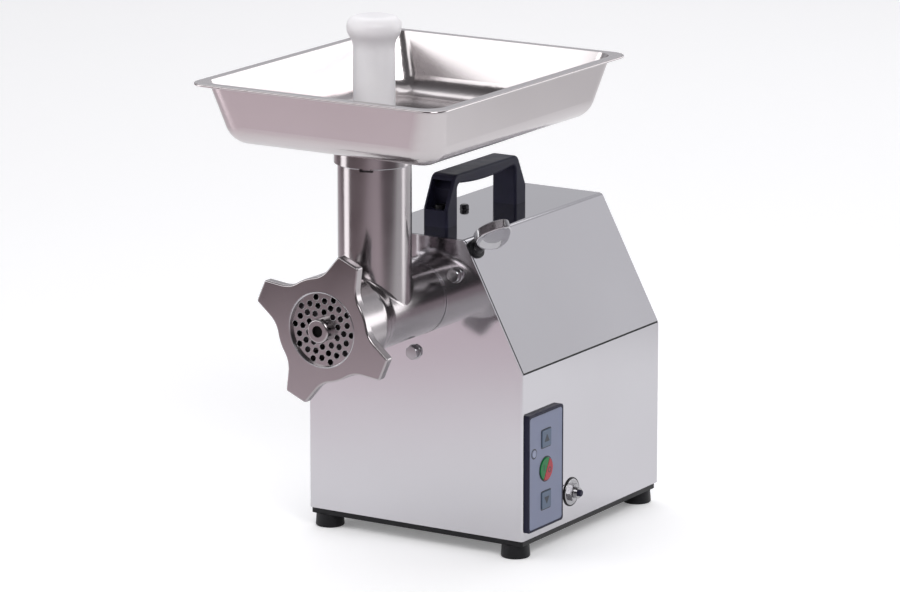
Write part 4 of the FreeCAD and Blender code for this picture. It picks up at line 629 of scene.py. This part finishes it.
film_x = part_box("panel_overlay")[1][0] / mm
key_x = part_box("forward_key")[1][0] / mm
half_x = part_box("start_key")[1][0] / mm
panel_y, panel_z, key_step = -10.55, 76.25, 27.6
lamp_y, lamp_z = -30.55, 93.65
key_frame = strip(square(8.6, 2.0), square(7.75, 1.4))
frames = [on_panel(key_frame, film_x, panel_y, panel_z + key_step),
          on_panel(key_frame, film_x, panel_y, panel_z - key_step),
          on_panel(strip(circle(11.4), circle(10.5)), film_x, panel_y, panel_z),
          on_panel(strip(circle(4.6), circle(3.5)), film_x, lamp_y, lamp_z)]
piece("panel_print", "casing", finishes["print"], frames)
arrow = rounded([(-4.2, -3.0, 0.5), (4.2, -3.0, 0.5), (0, 4.0, 0.5)], closed=True)
piece("forward_sign", "forward_button", finishes["print"],
      [on_panel(plate_of(arrow), key_x, panel_y, panel_z + key_step)])
piece("reverse_sign", "reverse_button", finishes["print"],
      [on_panel(plate_of(-arrow), key_x, panel_y, panel_z - key_step)])
sign_y, sign_z = 4.6, 1.6
bar = rounded([(-0.5, -2.6, 0.4), (0.5, -2.6, 0.4), (0.5, 2.6, 0.4), (-0.5, 2.6, 0.4)], closed=True)
piece("start_sign", "start_button", finishes["print"],
      [on_panel(plate_of(bar), half_x, panel_y - sign_y, panel_z + sign_z)])
piece("stop_sign", "stop_button", finishes["print"],
      [on_panel(strip(circle(2.6, 32), circle(1.8, 32)), half_x, panel_y + sign_y, panel_z - sign_z)])

# %% [markdown]
# ## Overload reset button
#
# A screwed barrel comes through the casing with a chromed disc, a nut and a black rubber seal round it. The thread
# is what makes it look like a fitting instead of a peg. Rings stacked along the barrel would pass from afar, but a
# real helix costs no more: the radius swells once per turn along the barrel, and the phase follows the angle.

# %% Reset thread and seal
def threaded(radius, depth, pitch, start, end, count=40):
    """r = radius - depth (1 - cos(2 pi h / pitch - turn)) / 2: a ridge that climbs one pitch per turn."""
    height, turn = np.linspace(start, end, int((end - start) / pitch * 12))[:, None], turns(count)[None, :]
    r = radius - depth * (0.5 - 0.5 * np.cos(2 * np.pi * height / pitch - turn))
    rows = np.stack([r * np.cos(turn), r * np.sin(turn), height + 0 * turn], -1)
    inner = np.array([0.9, 0.9, 1.0])
    return np.concatenate([rows[:1] * inner, rows, rows[-1:] * inner])


reset_spot = (110.0, 39.6, 43.4)
thread = threaded(radius=5.05, depth=0.35, pitch=1.2, start=4.4, end=8.25)
piece("reset_thread", "casing", finishes["bright_bolt"],
      [grid(stand(thread, reset_spot, right_side), rows_meet=True)])
seal = lathe(rounded([(11.0, 0, 0), (12.9, 0, 0.3), (12.9, 1.0, 0.4), (11.0, 1.0, 0)]), 64)
piece("reset_seal", "casing", finishes["black_rubber"],
      [grid(stand(seal, reset_spot, right_side), rows_meet=True)])

# %% [markdown]
# ## The back: vents, screws and the lead's gland
#
# Each vent is punched with a rolled lip, which stiffens the sheet and catches the light. The screws are pan heads
# with a cross recess. A recess could be cut with a boolean, but it is shallow: on a fine polar grid the head's
# height is a dome, less a groove wherever the point is close to one of the cross's arms.

# %% Vent lips
def slot_outline(half_long, half_high):
    """A slot with round ends about the origin."""
    bend = half_high * 0.98
    return rounded([(-half_long, -half_high, bend), (half_long, -half_high, bend), (half_long, half_high, bend),
                    (-half_long, half_high, bend)], steps=6, closed=True)


def rolled_lip(half_long, half_high, wide, high):
    """Slot outlines that grow outwards while their height follows a half circle, then close below the sheet."""
    share = np.linspace(0, 1, 6)
    below = -0.2
    rows = []
    for grown, level in zip([*(wide * share), wide, 0.0], [*(high * np.sin(np.pi * share)), below, below]):
        outline = slot_outline(half_long + grown, half_high + grown)
        rows.append(np.column_stack([outline, np.full(len(outline), level)]))
    return np.stack(rows)


lip = rolled_lip(half_long=23.0, half_high=2.5, wide=1.8, high=0.9)
vent_low, vent_step = 65.5, 13.0
vent_spots = [(x, rear_face, vent_low + vent_step * i) for i in range(7) for x in (-31.0, 31.0)]
piece("vent_lips", "casing", finishes["polished_sheet"],
      [grid(stand(lip, spot, rear), rows_meet=True) for spot in vent_spots])

# %% Rear screws
def cross_head(radius, high):
    """A pan head: z = high sqrt(1 - (r / R) ^ 2.6), less a groove near the arms of a cross."""
    share, turn = np.concatenate([[1.0, 1.0], np.linspace(0.98, 0, 22)])[:, None], turns(72)[None, :]
    x, y = radius * share * np.cos(turn), radius * share * np.sin(turn)
    arm = np.minimum(np.abs(x), np.abs(y))
    groove = np.clip(1 - arm / 0.55, 0, 1) * np.clip((0.62 * radius - np.hypot(x, y)) * 2, 0, 1)
    z = high * np.sqrt(np.clip(1 - share ** 2.6, 0, 1)) + 0 * turn - 0.9 * np.minimum(groove * 2, 1)
    z[0] = -0.3
    return np.stack([x, y, z], -1)


screw_rows = ((101, 26), (101, 156), (41.8, 267.8))
screw_spots = [(side_sign * x, rear_face, z) for x, z in screw_rows for side_sign in (-1, 1)]
piece("rear_screw_heads", "casing", finishes["bright_bolt"],
      [grid(stand(cross_head(radius=4.0, high=2.2), spot, rear)) for spot in screw_spots], ["rear_screws"], 60)

# %% [markdown]
# ## Cable gland
#
# The lead leaves through a plastic gland: a ribbed cap on a hexagon flange, with a hole for the lead. The ribs could
# be bars set round a plain cap, but here the cap is one turned profile whose radius is rippled by sixteen ribs that
# fade out towards the mouth.

# %% Gland
def ribbed_cap(profile, ribs, deep, count=96):
    """A lathe whose radius is r (1 - deep f (1 - cos(ribs t)) / 2), where f fades from the flange to the mouth."""
    radius, height = np.array(profile, float).T[:, :, None]
    turn = turns(count)[None, :]
    fade = np.clip(1.15 - np.abs(height - 5.5) / 3.6, 0, 1) * (radius > 8.0)
    r = radius * (1 - deep * fade * (0.5 - 0.5 * np.cos(ribs * turn)))
    return np.stack([r * np.cos(turn), r * np.sin(turn), height + 0 * turn], -1)


cap_profile = rounded([(4.5, -6.0, 0), (8.6, -6.0, 0), (8.6, 0, 0), (9.4, 2.2, 0), (9.5, 3.0, 0), (9.5, 4.0, 0),
                       (9.5, 5.0, 0), (9.5, 6.0, 0), (9.5, 7.0, 0), (9.5, 8.2, 1.5), (7.6, 11.9, 2.0),
                       (4.5, 11.9, 0.6), (4.5, 5.0, 0)], 4)
gland_spot = (-70.0, rear_face, 51.0)
flange_head, _ = hexagon_head(flats=22.0, height=3.0, washer=12.0, washer_height=0.0)
flange_hole = np.array([0.75, 0.75, 1.0])
flange = np.concatenate([flange_head[1:8], flange_head[7:8] * flange_hole, flange_head[1:2] * flange_hole])
piece("cable_gland_cap", "casing", finishes["black_plastic"],
      [grid(stand(ribbed_cap(cap_profile, ribs=16, deep=0.09), gland_spot, rear), rows_meet=True),
       grid(stand(flange, gland_spot, rear), rows_meet=True)], ["cable_gland"], 35)
